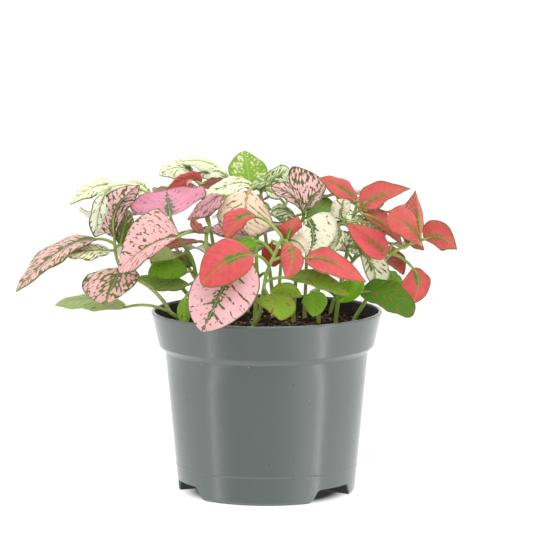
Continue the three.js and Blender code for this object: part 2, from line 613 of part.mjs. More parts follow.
const outside = lathe(
  [[0, 0], [FOOT_RADIUS - FOOT_ROUND, 0], [FOOT_RADIUS - 0.3 * FOOT_ROUND, 0.3 * FOOT_ROUND],
    [FOOT_RADIUS, FOOT_ROUND], [NECK_RADIUS, NECK_Z],
    [RIM_LOW_RADIUS - 0.7, RIM_LOW_Z - 0.5],
    [RIM_LOW_RADIUS, RIM_LOW_Z + 0.6], [RIM_RADIUS - 0.6, POT_HEIGHT - 1.8], [RIM_RADIUS, POT_HEIGHT - 1.2],
    [RIM_RADIUS, POT_HEIGHT - 0.4], [RIM_RADIUS - 0.4, POT_HEIGHT], [0, POT_HEIGHT]],
  POT_SIDES,
).subtract(channels(0));

function cavity(inset, floor, brim) {
  return lathe(
    [[0, floor], [FOOT_RADIUS - WALL - 1 - inset, floor], [FOOT_RADIUS - WALL - inset, floor + 1.2],
      [NECK_RADIUS - WALL - inset, NECK_Z + 0.4], [RIM_LOW_RADIUS - WALL - inset, RIM_LOW_Z + 1.2],
      [RIM_RADIUS - WALL - inset - 3.9 * ((POT_HEIGHT - brim) / (POT_HEIGHT - RIM_LOW_Z)), brim], [0, brim]],
    POT_SIDES,
  );
}

const drain = new THREE.CylinderGeometry(DRAIN_RADIUS, DRAIN_RADIUS, 30, 12);
drain.rotateX(Math.PI / 2);
const drains = [solidOf(drain)];
for (const turn of CHANNEL_TURNS) {
  const angle = THREE.MathUtils.degToRad(turn);
  drains.push(solidOf(drain.clone().translate(30 * Math.sin(angle), -30 * Math.cos(angle), 0)));
}
const pot = outside
  .subtract(cavity(0, WALL, POT_HEIGHT).subtract(channels(WALL)))
  .subtract(lathe([[0, POT_HEIGHT - 1], [RIM_RADIUS - WALL, POT_HEIGHT - 1], [RIM_RADIUS - WALL, POT_HEIGHT + 3],
    [0, POT_HEIGHT + 3]], POT_SIDES))
  .subtract(wasm.Manifold.union(drains));

// The soil's surface is raised and lowered by seeded amounts; stems stand in plain holes.
function soilBody() {
  const body = cavity(SOIL_GAP, WALL + SOIL_GAP, SOIL_Z + 4).subtract(channels(WALL + SOIL_GAP));
  const rings = [0, 15, 29, 43, 60];
  const spokes = 15;
  const grains = seeded(SEED + 7);
  const heights = rings.map((r, k) => {
    const row = [];
    for (let i = 0; i < spokes; i++) row.push(SOIL_Z + (k > 3 ? -0.6 : 1.8 * (grains() - 0.5)));
    return row;
  });
  const positions = [];
  const index = [];
  const at = (k, i, z) => {
    const a = (2 * Math.PI * (i + (k % 2) / 2)) / spokes;
    positions.push(rings[k] * Math.cos(a), rings[k] * Math.sin(a), z);
    return positions.length / 3 - 1;
  };
  const centre = at(0, 0, heights[0][0]);
  const grid = [];
  for (let k = 1; k < rings.length; k++) {
    grid[k] = [];
    for (let i = 0; i < spokes; i++) grid[k].push(at(k, i, heights[k][i]));
  }
  const last = rings.length - 1;
  const lid = [];
  for (let i = 0; i < spokes; i++) lid.push(at(last, i, SOIL_Z + 20));
  const lidCentre = positions.length / 3;
  positions.push(0, 0, SOIL_Z + 20);
  for (let i = 0; i < spokes; i++) {
    const j = (i + 1) % spokes;
    index.push(centre, grid[1][j], grid[1][i]);
    for (let k = 1; k < last; k++) {
      const [a, b, c, d] = [grid[k][i], grid[k][j], grid[k + 1][i], grid[k + 1][j]];
      if (k % 2) index.push(a, b, c, b, d, c);
      else index.push(a, d, c, a, b, d);
    }
    index.push(grid[last][i], grid[last][j], lid[i]);
    index.push(grid[last][j], lid[j], lid[i]);
    index.push(lidCentre, lid[i], lid[j]);
  }
  const mesh = new wasm.Mesh({
    numProp: 3,
    vertProperties: new Float32Array(positions),
    triVerts: new Uint32Array(index),
  });
  const cutter = new wasm.Manifold(mesh);
  const pits = holes.map((foot) => {
    const pit = new THREE.CylinderGeometry(STEM_RADIUS + HOLE_GAP, STEM_RADIUS + HOLE_GAP, 40, 8);
    pit.rotateX(Math.PI / 2);
    pit.translate(foot.x, foot.y, foot.z - 0.5 + 20);
    return solidOf(pit);
  });
  return body.subtract(cutter).subtract(wasm.Manifold.union(pits));
}
const soil = soilBody();

// The assembly
grown.push({ name: "pot", kind: "whole", tag: 0, solid: pot });
grown.push({ name: "soil", kind: "whole", tag: 0, solid: soil });

const COLOURS = { pink: 0xe9a9b0, white: 0xdfe3bd, red: 0xc9534b };
const bounds = new THREE.Box3();
for (const solid of [pot, soil, ...bodies.values()]) {
  const { min, max } = solid.boundingBox();
  bounds.expandByPoint(new THREE.Vector3(...min)).expandByPoint(new THREE.Vector3(...max));
}
// the origin is under the middle of the whole
const shift = bounds.getCenter(new THREE.Vector3()).negate();
shift.z = -bounds.min.z;
const root = new THREE.Group();
root.name = "potted_polka_dot_plant";
root.add(meshOf(pot, "pot", new THREE.MeshStandardMaterial({ color: 0x6c7271, roughness: 0.45 }), shift));
root.add(meshOf(soil, "soil", new THREE.MeshStandardMaterial({ color: 0x2a2019, roughness: 0.95 }), shift));
for (const [name, solid] of bodies) {
  const color = COLOURS[name.split("_")[0]];
  root.add(meshOf(solid, name, new THREE.MeshStandardMaterial({ color, roughness: 0.6 }), shift));
}

export default root;
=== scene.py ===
"""Potted polka dot plant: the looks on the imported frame. Lengths are millimetres until a mesh is made."""

import math

import bpy
import numpy as np
from mathutils import Matrix, Vector


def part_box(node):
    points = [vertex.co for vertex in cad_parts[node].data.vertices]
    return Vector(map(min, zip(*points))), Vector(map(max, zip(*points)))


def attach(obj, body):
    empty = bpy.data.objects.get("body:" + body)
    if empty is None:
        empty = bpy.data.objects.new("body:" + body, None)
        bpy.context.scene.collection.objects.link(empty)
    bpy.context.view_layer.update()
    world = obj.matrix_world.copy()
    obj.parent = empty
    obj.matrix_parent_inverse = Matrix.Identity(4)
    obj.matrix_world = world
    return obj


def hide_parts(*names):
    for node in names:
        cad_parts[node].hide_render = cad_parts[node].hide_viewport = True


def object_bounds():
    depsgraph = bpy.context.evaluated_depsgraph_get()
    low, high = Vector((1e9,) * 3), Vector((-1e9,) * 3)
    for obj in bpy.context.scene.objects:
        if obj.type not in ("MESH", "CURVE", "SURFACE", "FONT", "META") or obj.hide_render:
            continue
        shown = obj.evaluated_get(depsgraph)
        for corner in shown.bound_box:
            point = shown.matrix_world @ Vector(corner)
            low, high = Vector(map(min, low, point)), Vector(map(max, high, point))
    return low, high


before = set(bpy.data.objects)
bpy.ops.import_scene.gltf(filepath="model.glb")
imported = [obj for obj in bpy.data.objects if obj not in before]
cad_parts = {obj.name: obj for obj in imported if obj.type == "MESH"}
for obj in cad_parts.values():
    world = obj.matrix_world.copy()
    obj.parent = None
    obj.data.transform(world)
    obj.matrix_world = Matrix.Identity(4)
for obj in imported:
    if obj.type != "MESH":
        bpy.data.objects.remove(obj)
cad_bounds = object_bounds()

MM = 0.001
KEEP_IN = 0.00003  # metres that a piece stays clear of the CAD box
POT_LOW, POT_HIGH = (np.array(corner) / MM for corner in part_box("pot"))
SHIFT = np.array([(POT_LOW[0] + POT_HIGH[0]) / 2, (POT_LOW[1] + POT_HIGH[1]) / 2, 0.0])
SEED = 20

# Dimensions shared with the part's source
POT_HEIGHT = 95.0
RIM_RADIUS = 60.0
RIM_LOW_RADIUS = 56.1
RIM_LOW_Z = 77.2
NECK_RADIUS = 52.7
NECK_Z = 74.0
FOOT_RADIUS = 46.0
FOOT_ROUND = 2.2
WALL = 1.4
CHANNEL_HEIGHT = 7.0
CHANNEL_HALF_FOOT = 15.3
CHANNEL_HALF_TOP = 11.4
CHANNEL_TURNS = (50, 172, 294)
DRAIN_RADIUS = 4.0
DRAIN_REACH = 30.0
SOIL_Z = 88.0
STEM_RADIUS = 1.35
PETIOLE_RADIUS = 0.72

# Dimensions of the looks alone
TAPER_Z = 1.2  # where the line of the body's wall would start
RING_Z, RING_BULGE = 14.8, 0.2  # the moulded ring above the feet
POT_SIDES = 240
GAP = 0.3  # between the soil and the pot
SOIL_SPOKES, SOIL_RINGS = 260, 76
CRUMB_COUNT = 560
CRUMB_SHARES = [0.74, 0.18, 0.08]  # dark, tan, pale
STEM_DEPTH = 11.0  # of a stem's foot under the soil's level
STEM_TIP_RADIUS = 0.8
BACK_BEND_Z = 107.0
BLADE_THICK = 0.5
LONG_LEAF = 27.0  # blades longer than this get the fine grid
FINE_GRID, COARSE_GRID = (65, 17), (45, 13)  # rows and columns of a blade
STALK_FOOT_RADIUS, RIB_TIP_RADIUS = 0.85, 0.16
STALK_RINGS, RIB_RINGS = 12, 22
RIB_DROP = 0.32  # of the rib's line below the middle of the blade

# The view that the leaves are laid out in
EYE = 2000.0
DIP = math.radians(7.62)
AIM_Z = 117.8
AIM_X = -0.09
LENS_MM = 260.1
SENSOR_MM = 36.0
EYE_SPOT = np.array([AIM_X, -EYE * math.cos(DIP), AIM_Z + EYE * math.sin(DIP)])


def sight(spot):
    """Across and up on the sheet through the pot's axis, and back along +Y, to a point in space."""
    across, up, back = spot
    rise = up - AIM_Z * math.cos(DIP)
    z = AIM_Z + (rise * (1 + back * math.cos(DIP) / EYE) - back * math.sin(DIP)) / (
        math.cos(DIP) + rise * math.sin(DIP) / EYE
    )
    reach = EYE + back * math.cos(DIP) - (z - AIM_Z) * math.sin(DIP)
    return np.array([AIM_X + across * reach / EYE, back, z])


def rows_of(groups):
    """The rows of (name, rows) groups in order, each with its group's name in front."""
    return [(name, *row) for name, rows in groups for row in rows]


# Stems in view: paths of spots, each across,up,back, the one in the soil first
STEMS = {
    "pink_stem_1": (-43,84,-13, -50,93,-13, -53,98,-12, -60,105.5,-10, -67,110,-8, -75,115,-6, -78,122,-4,
                    -79,131,-3),
    "pink_stem_2": (-30,84,8, -36,110,8, -39,121.5,6, -44.5,130,4, -49.5,141,0),
    "pink_stem_3": (-20,82,-16, -26,108,-14, -31,126,-10, -31,134,-8, -29.5,137.5,-6, -31,142,-3,
                    -26,149,1, -21,153,6),
    "pink_stem_4": (14,84,10, 16,120,8, 18,138,5, 19.5,144,4),
    "pink_stem_5": (-6,83,-4, -5,110,-4, -5,130,-4, -2,140,1, 1,147,6),
    "white_stem_1": (-34,86,20, -46,108,18, -58,120,16, -73,126,14, -79,136,13, -80,150,13, -80,157,13),
    "white_stem_2": (4,86,24, 1,120,24, -2,145,25, -3,156,26),
    "white_stem_3": (27,84,0, 27,110,-2, 30,128,-4, 36,137,-6, 41,140,-6),
    "white_stem_4": (-10,90,44, -13,120,48, -16,150,52, -20,163,54),
    "red_stem_1": (-8,80,-42, -4,91,-42, -2,102,-42, 0,113,-42, 1.5,117,-42, 5.5,126,-41, 8,132,-39),
    "red_stem_2": (-20,88,32, -26,120,34, -32,150,37, -35,160,39),
    "red_stem_3": (36,83,-6, 39,110,-4, 43,130,-2, 45,142,-2, 47,149,-5),
    "red_stem_4": (45,82,-14, 52,100,-12, 58,114,-10, 63,122,-9, 70,126.5,-9, 80,130.3,-9),
}

# Stems of the far side: foot (x, y) and head (x, y, z)
BACK_STEMS = {
    "pink_stem_6": ((-31, 35), (-57, 62, 132)),
    "white_stem_5": ((6, 46), (10, 68, 142)),
    "red_stem_5": ((34, 32), (57, 50, 134)),
    "pink_stem_7": ((20, 22), (22, 32, 146)),
}

# Leaves in view, by stem: where the stalk starts on its path, look, then base, middle of the midrib, tip and
# the widest points of the left and right sides, each across,up,back. Some rows go on with where along it the
# blade is widest, and a second number for how full its outline is.
LEAVES = rows_of([
    ("pink_stem_1", [  # far left, pink
        (6.7, "pink_spotted", -88,131,-4, -108,124,-9, -130,103.5,-18,
         -113,127.5,5, -105,120.5,-20, 0.45, 1.6),
        (6.3, "cream_green", -81,125,-3, -92,124.5,-8, -105,123.5,-12, -93,129,5, -92,120.3,-18, 0.4),
        (5, "pink_spotted", -75,116,-20, -79.5,107.5,-27, -84,97,-29, -95.5,109,-25, -66.5,110,-26, 0.5, 1.3),
        (6.5, "green_pink", -76,128,-4, -74,137,-5, -72,146,-3, -78.5,136,-1, -69,137,-3, 0.4),
        # this leaf takes the lighter pink_dense look: painted light, to make up for the shade it sits in
        (7, "pink_dense", -79,132,-4, -77.8,147,-8, -66,159,-5, -88,146,0, -70.5,148.5,-2, 0.45),
        (1, "green_light", -73,95.6,-10, -92,99,-8, -110,96.5,-9, -89,102.4,5, -91,94.2,-18, 0.4),
    ]),
    ("pink_stem_3", [  # left, pink, arching over
        (3, "pink_arched", -46,132,-18, -61,127.5,-30, -77,114,-38, -60,145.8,-12, -62.5,119.5,-38),
    ]),
    ("pink_stem_2", [
        (4, "hot_pink", -50,143,-2, -51,150,13, -52,156.5,28, -71.5,148.5,12, -31.5,156,15),
        (2.2, "green_light", -48,121,0, -55,124,-1, -63,124,-4, -56,128.5,5, -56,119.5,-7, 0.4),
        (1.3, "green_dark", -41,114,3, -50,116,0, -61.5,112.5,-4, -51,122,7, -48,110,-7),
        (1.6, "olive", -38,117,12, -42,119.5,12, -48,121,11, -41,123.5,16, -44,115.5,8, 0.45),
        (0.9, "green_pinkish", -40,107.5,3, -52,108.5,2, -66.5,111,0, -53,112.3,9, -54,104,-5),
        (0.7, "green_mid", -42,101,-10, -43,94,-17, -42,86,-22, -46.5,93,-17, -39,94,-15, 0.45),
    ]),
    ("pink_stem_3", [  # middle, pink
        (1.2, "pink_clear", -15,122,-46, -24,102.5,-62, -33.5,83,-65, -39,107,-57, -5,101,-60, 0.5, 1.15),
        (7, "mauve", -23,153.6,5, -31,149,2, -41,141,-2, -31,152.7,9, -27,144.8,-8),
        (3, "salmon", -32.5,134.5,-10, -36.5,137,-12, -38,142.5,-11, -34,139,-8, -39,137,-15, 0.4),
    ]),
    ("pink_stem_5", [
        (2.1, "mauve", -8.5,132,-12, -17,134,-17, -29,136.5,-19, -18,140,-10, -17,130.3,-24),
        (2.7, "cream", -5,139,4, -10,137,1, -17,137.5,-1, -9,140.7,7, -9,132.7,-4),
        (4, "pink_dark", -1,148.5,12, -5,152,13, -10,152.5,13, -5,154.3,18, -5,149,8),
        (3.4, "olive", 2,146.5,9, -3,147.8,10, -9,149,9, -3,151,13, -4,144.5,4.5),
    ]),
    ("pink_stem_4", [  # centre-right, pink and green
        (3, "pink_dense", 19.5,145,4, 24.5,152.5,9, 30.7,160.5,15, 12.3,167.3,15, 28.5,152.3,3, 0.55, 1.75),
        (2.9, "pink_dense", 19,145,2, 13.5,153.5,-2, 2.5,158.5,-5, 9.5,151.8,-9, 14,158.5,6),
        (2.4, "green_ribbed", 20.5,142,8, 27,145.3,10, 36,148.3,14, 27,152.5,20, 28,143,2, 0.45),
        (2.1, "green_white", 15,142.5,4, 9,146,1, 2.5,145.5,0, 8,149,6, 8,141.5,-7),
    ]),
    ("white_stem_1", [  # upper left, white
        (6, "white_spotted", -84,154,-6, -87.5,144,-15, -88,132.3,-14, -91.7,144,-20, -82.3,144,-6),
        (6, "cream", -79,158.5,20, -90,157.5,23, -102,149,24, -90.5,161,31, -88.5,153.3,14),
        (6, "pale_under", -67,157.5,12, -77,158.5,9, -88,154,7, -77.5,160.5,17, -76.5,154.8,1),
        (6, "white", -60,153.5,34, -67,160,35, -76,159,37, -66,162,44, -66,152.5,24),
    ]),
    ("white_stem_4", [  # top, white
        (2.8, "white", -38,165,60, -46,168,60, -55.5,164,58, -47,172,69, -46,162.3,50, 0.45),
        (3, "pale_under", -22,165,62, -33,171,64, -45.5,170.5,64, -34,173,74, -32,166,52),
        (3, "white", -19.5,162,56, -26.5,166,55, -34.5,163,53, -26.5,169,63, -26.5,160.8,48.5),
    ]),
    ("white_stem_2", [
        (3, "cream_white", -6.5,157.4,22.5, -17.5,159.5,20, -33.5,151.3,13, -19,163,27, -17,154.3,11),
        (3, "lime_specks", -8.5,159,30, -10,168.5,40, -11.5,177,53, -19.8,166.5,36, 0.8,166,34, 0.45, 1.6),
        (3, "peach", -8.5,157,12, -11,146,0, -9,133,-8, -25.5,143,2, 3,141,-4, 0.58, 1.2),
        (3, "white_green", 1,160,34, 6,164,34, 11.8,166.5,31, 4,168,41, 9,158.5,28, 0.45),
        (2.9, "white", 0,157.5,20, 3.5,155.5,15, 7.5,152,12, 4,158,18, 1.3,153,13),
        (3, "green_specks", 2,160,30, -2,160.7,26, -8,158.7,22, -3,162.5,31, -2,157.7,19),
    ]),
    ("white_stem_3", [  # centre-right, white
        (3, "white_veined", 21.5,141,-10, 24.5,131,-18, 20.5,121.5,-21, 16.3,134,-14, 36,141.5,-10, 0.3),
        (3.2, "cream_white", 38,136,-11, 37,130,-14, 34,124,-16, 31.8,131,-12, 41,130,-13),
        (4, "cream_veined", 38.5,141,0, 39,147,6, 41,154,14, 33.5,147.5,5, 43.5,147,7, 0.45),
        (3.6, "green_white", 44,136,-12, 45.5,130,-15, 44,123.5,-17, 39.7,129.5,-13, 52,130,-14),
        (4, "cream_green", 43,139.5,-12, 49,140,-15, 56,136.5,-16, 49,143.5,-10, 48,135.8,-19),
        # this leaf takes the lighter cream_white look: painted light, to make up for the shade it sits in
        (2.4, "cream_white", 48,125.5,-13, 54.5,118,-15.5, 57,107,-15, 63.5,116.5,-15, 51,114,-16, 0.6, 1.2),
    ]),
    ("red_stem_1", [  # front, red
        (4, "coral", -7,122.5,-56, -20,119.5,-66, -33.8,107.3,-70, -25,130,-59, -14.5,110,-72, 0.45, 1.2),
        (4.3, "coral_long", 20,121,-43, 34,119.5,-51, 52,108.5,-53, 31,126.5,-43, 29.5,113.5,-58, 0.42, 1.6),
        (5.6, "coral", 10.5,130,-43, 13.5,122,-56, 10,111,-64, 7.3,121,-53, 19.3,119.5,-54, 0.5),
        (5.4, "coral", 10.5,129.5,-35, 12.3,135.5,-38, 16.5,142.7,-33, 5.3,136,-33, 18.3,137,-34, 0.5),
        (5.5, "peach_under", 11,130,-33, 16,129.5,-36, 20.5,124,-38, 17.5,134,-30, 12.5,124,-40, 0.45),
        (6, "coral", -5,142.5,-25, -13.5,141.5,-30, -20.8,131.3,-35, -18.5,146,-22, -11.5,138,-36, 0.45),
        (5.2, "dark_red", 2.5,129,-24, 3,123,-26, 4,116.5,-28, -2.5,123,-23, 8.3,123,-24),
        (4.6, "green_dark", -4,130,-33, -12,129.3,-36, -21,129.5,-38, -12,131.8,-30, -13,124.5,-42),
        (3, "green_olive", -3.5,111.5,-34, -8,113,-38, -14.5,113,-41, -8,118.8,-35, -8,109,-40),
        (2.3, "lime_red", 0.5,102,-47, 5,97,-54, 7,88.8,-57, -6.5,98,-52, 14.7,98,-52),
        (2.1, "lime", 2,101,-38, 10,106,-37, 18.5,101,-38, 9,108.5,-33, 11,100,-41, 0.45),
        (2.6, "green_red_pale", 12,110.5,-44, 27,110,-51, 43,102,-54, 24,115.5,-44, 26,106,-57),
    ]),
    ("red_stem_3", [  # right of the middle, green and low
        (0.6, "green_dark", 37,98,-34, 43,104,-38, 47.5,112,-41, 37,106.5,-36, 49.5,103,-38, 0.45),
        (0.5, "green_mid", 23,103.5,-38, 25,98,-42, 24,90.7,-48, 18.3,98,-40, 31.5,99,-43),
    ]),
    ("red_stem_3", [  # right, red
        (4, "right_red", 45.5,150.5,-10, 38.5,157,-9, 27,162.5,-12, 42,160.7,-2, 36.5,152.5,-19, 0.4, 1.6),
        (4, "right_red", 49,148.5,-7, 60,154,-5, 75.3,157.2,-4, 54,160,3, 56,146.5,-15, 0.32, 1.8),
        (3.2, "right_red", 49.5,144.5,-16, 60,139.5,-15, 70.3,127.8,-14, 62,144,-6, 57,138,-17),
        (4, "bud", 47.5,148,-11, 50,147.5,-14, 52.5,145.3,-16, 50.5,149.5,-12, 48.5,145.3,-15, 0.45),
    ]),
    ("red_stem_4", [
        (5, "right_red", 80.4,127.8,-11.2, 72.5,138.2,-24, 62.3,141.7,-31,
         73.5,146.5,-16, 69,132.5,-33, 0.48, 1.6),
        (5, "coral_light", 80,133,0, 79,144,4, 77.2,156.8,9, 72,145,6, 81.5,141,9, 0.38, 2.1),
        (4.6, "right_red", 71,132.5,-1, 76.5,130.3,-4, 82,125.3,-6, 77,133,2, 74,128,-8),
        (5, "right_red", 82,130.7,-11, 90.5,131.8,-14, 99.2,125.2,-17, 87,141,-8, 90,125.6,-19, 0.36, 1.9),
        (3, "coral_long", 62.5,122.5,-15, 54.5,129,-24, 41,139.7,-29,
         60,134.5,-21, 51.5,123.3,-33, 0.29, 1.5),
        (3.3, "coral", 76,116,-8, 79,108,-14, 75.3,97.3,-18, 85,109.5,-8, 68.5,106.5,-20, 0.45, 1.2),
        (2.2, "green_mid", 61,115.3,-4, 66,112,-7, 72,106,-8, 67.5,113.5,0, 64,109,-12),
        (1, "green_red", 48.5,103,-23, 62,102.5,-28, 77,93.5,-30, 64,109.7,-19, 62,94.5,-38, 0.5, 0.9),
    ]),
    ("red_stem_2", [  # top left, red, behind
        (3, "dark_red", -36,160.5,38, -41,162,38, -53,155.8,34, -38,166,45, -40.5,157.5,31, 0.35),
        (3, "brown_red", -34,159.5,38, -28,161,37, -21,162,37, -28,162.7,42, -28.5,157.5,30),
    ]),
])

# Leaves of the far side, by stem: where the stalk starts, length, lift and turn in degrees
HIDDEN_LEAVES = rows_of([
    ("pink_stem_6", [(2.35, 24, -2, 65), (2.35, 26, -2, 245), (2.7, 34, 2, 165),
                     (2.7, 30, 2, 345), (3, 36, 20, 70), (3, 34, 20, 250)]),
    ("white_stem_5", [(2.3, 30, -6, 80), (2.3, 24, -4, 220), (2.72, 36, 2, 150),
                     (2.72, 36, 2, 340), (3, 34, 22, 60), (3, 32, 24, 240)]),
    ("red_stem_5", [(2.3, 30, -4, 120), (2.3, 32, -4, 310), (2.7, 36, 2, 30),
                     (2.7, 28, 2, 200), (3, 34, 20, 100), (3, 34, 20, 290)]),
    ("pink_stem_7", [(2.6, 28, 5, 30), (2.6, 26, 5, 215), (3, 28, 20, 100), (3, 28, 20, 325)]),
    ("white_stem_4", [(3.2, 34, 10, 100), (2.4, 32, -2, 75)]),
    ("red_stem_2", [(3.0, 34, 5, 130), (2.2, 27, -4, 200)]),
    ("white_stem_1", [(5, 34, 4, 110), (3, 30, -4, 120)]),
    ("red_stem_3", [(4, 34, 5, 75), (3, 30, -2, 60)]),
    ("red_stem_4", [(4, 30, 0, 75)]),
    ("white_stem_2", [(3, 30, -2, 100)]),
])
HIDDEN_STALK = 0.32  # these four are shares of a far leaf's length
HIDDEN_HALF_WIDTH = 0.31
HIDDEN_FOLD = 0.07
HIDDEN_WIDEST = 0.4
WIDEST, FULLNESS = 0.42, 1.35  # of a blade whose row doesn't say
BELLY = 0.1
WAVE = 0.055
WAVES = 2.5
SIDE_PHASE = 1.9  # by which the waves of the two margins differ
VEIN_SLANT = 0.75
VEIN_SPACING = 0.135  # share of the blade's length from one side vein to the next
SWELL = 0.36

# Looks: light colour, mark colour (0-255, or more to make up for shade), share of the blade that the marks
# cover, half width of the marked band along the midrib in mm, strength of the dark margin, strength of the
# marked side veins (below zero they are paler instead), share of the red leaves' blotch and tan veins.
LOOKS = {
    "pink_spotted": (258,204,196, 106,134,62, 0.4, 1.9, 0.9, 0, 0),
    "pink_dense": (270,216,216, 92,116,50, 0.4, 1.3, 0.9, 0, 0),
    "pink_clear": (264,202,206, 70,118,34, 0.05, 2.5, 0.9, 0.72, 0),
    "pink_arched": (264,200,198, 92,112,50, 0.2, 0.8, 0.9, 0.5, 0),
    "hot_pink": (244,158,182, 70,108,66, 0, 1.7, 0.6, 0.25, 0),
    "pink_dark": (206,116,124, 95,105,60, 0.3, 0.8, 0.8, 0.3, 0),
    "mauve": (228,156,166, 112,98,66, 0.25, 0.8, 0.8, 0.4, 0),
    "salmon": (224,128,115, 120,110,60, 0.1, 0.8, 0.6, 0.3, 0.3),
    "green_pink": (222,168,160, 92,124,44, 0.6, 1.4, 0.5, 0, 0),
    "green_pinkish": (152,186,78, 196,150,112, 0.08, 0.01, 0.7, -0.12, 0),
    "green_light": (186,208,130, 166,192,106, 0, 0.01, 0.2, -0.2, 0),
    "green_mid": (138,186,52, 112,164,34, 0, 0.01, 0.1, -0.3, 0),
    "green_dark": (122,174,24, 94,148,12, 0, 0.01, 0.1, -0.3, 0),
    "green_olive": (140,170,50, 112,148,32, 0, 0.01, 0.1, -0.3, 0),
    "green_ribbed": (150,190,84, 104,156,40, 0, 0.01, 0.1, -0.2, 0),
    "green_white": (236,240,200, 116,158,52, 0.5, 1, 0.4, 0.3, 0),
    "green_specks": (236,240,200, 116,158,48, 0.6, 1, 0.4, 0.3, 0),
    "green_red": (78,128,12, 190,98,66, 0.12, 0.01, 0, -0.12, 0),
    # green_red_pale is green_red painted lighter, to make up for the shade on the leaf that has it
    "green_red_pale": (124,166,40, 206,96,78, 0.2, 0.01, 0, -0.12, 0),
    "olive": (132,160,60, 104,118,44, 0.16, 0.6, 0.3, 0.2, 0),
    "white_spotted": (270,272,240, 96,116,50, 0.16, 0.5, 0.9, 0, 0),
    "white": (262,266,228, 140,172,80, 0.08, 0.9, 0.9, 0.5, 0),
    "white_green": (262,266,222, 116,160,58, 0.28, 1, 0.8, 0.5, 0),
    "cream": (264,262,220, 124,146,66, 0.1, 0.6, 0.9, 0.25, 0),
    "cream_white": (274,270,232, 130,156,74, 0.1, 0.8, 0.6, 0.5, 0),
    "cream_green": (268,264,222, 134,164,66, 0.3, 1, 0.4, 0.6, 0),
    "cream_veined": (278,272,234, 96,118,50, 0.02, 0.9, 0.22, 0.3, 0),
    "white_veined": (272,270,238, 84,114,34, 0, 1.5, 0.22, 0.14, 0),
    "lime_specks": (240,244,196, 140,182,36, 0.64, 2.6, 0.1, 0, 0),
    "lime": (162,192,56, 138,172,38, 0, 0.01, 0.1, -0.3, 0),
    "lime_red": (140,174,46, 204,100,62, 0.16, 0.01, 0, -0.12, 0),
    "peach": (266,238,206, 188,154,100, 0.04, 0.7, 0.45, 0.6, 0),
    "coral": (238,92,98, 92,140,48, 0, 1.5, 0.75, 0.1, 0.8),
    "coral_long": (242,98,102, 120,128,50, 0, 1, 0.7, 0.1, 0.65),
    "coral_light": (240,120,110, 128,134,60, 0, 1.1, 0.7, 0.1, 0.65),
    "right_red": (232,98,94, 104,132,48, 0, 1.2, 0.8, 0.1, 0.6),
    "dark_red": (190,62,48, 110,80,34, 0.1, 0.7, 0.5, 0.2, 0.3),
    "brown_red": (158,72,46, 104,84,36, 0.3, 0.8, 0.5, 0.2, 0.2),
    "bud": (196,134,82, 136,136,60, 0.4, 0.5, 0.3, 0, 0),
    "pale_under": (226,234,186, 172,198,122, 0.12, 0.8, 0.3, 0.3, 0),
    "peach_under": (242,200,160, 206,158,104, 0.06, 0.8, 0.3, 0.3, 0),
}
UNDER_LOOKS = ("pale_under", "peach_under")  # these turn their lower sheet to the front
HIDDEN_LOOKS = {
    "pink": ("pink_spotted", "pink_clear", "pink_dense", "pink_spotted"),
    "white": ("white_spotted", "white_green", "white", "green_specks"),
    "red": ("coral", "right_red", "green_red", "coral_light"),
}
STEM_COLOURS = {"pink": (142, 156, 78), "white": (160, 182, 96), "red": (136, 166, 76)}
TAN = (214, 150, 84)  # veins of the red leaves
SPECK_BROWN = (92, 72, 36)  # mixed into the marks that are off the midrib
DIM = np.array([0.7, 0.7, 0.7])  # share of a blade's colour that is left under this stage's strong light


def unit(v):
    """Vectors along the last axis, each over its length."""
    return v / np.maximum(np.linalg.norm(v, axis=-1, keepdims=True), 1e-9)


def linear(colour):
    """A 0-255 colour as linear light, with alpha."""
    c = np.array(colour, float) / 255
    return np.append(np.where(c <= 0.04045, c / 12.92, ((c + 0.055) / 1.055) ** 2.4), 1.0)


def paint(*colour):
    """A 0-255 colour for a colour socket."""
    return tuple(linear(colour))


def along(points, at):
    """A point on a path of straight spans, where 2.5 is halfway from the third point to the fourth."""
    i = min(int(math.floor(at)), len(points) - 2)
    return points[i] + (points[i + 1] - points[i]) * (at - i)


def bent(t, start, pull, end):
    """Points of a quadratic curve: (1-t)^2 start + 2t(1-t) pull + t^2 end."""
    t = t[:, None]
    return (1 - t) ** 2 * start + 2 * t * (1 - t) * pull + t**2 * end


def turned(w, u, v):
    """w under the least turn that takes unit u to each unit row of v: w + k x w + k x (k x w) / (1 + u.v),
    where k = u x v."""
    k = np.cross(u, v)
    kw = np.cross(k, w)
    return w + kw + np.cross(k, kw) / (1 + (v @ u))[:, None]


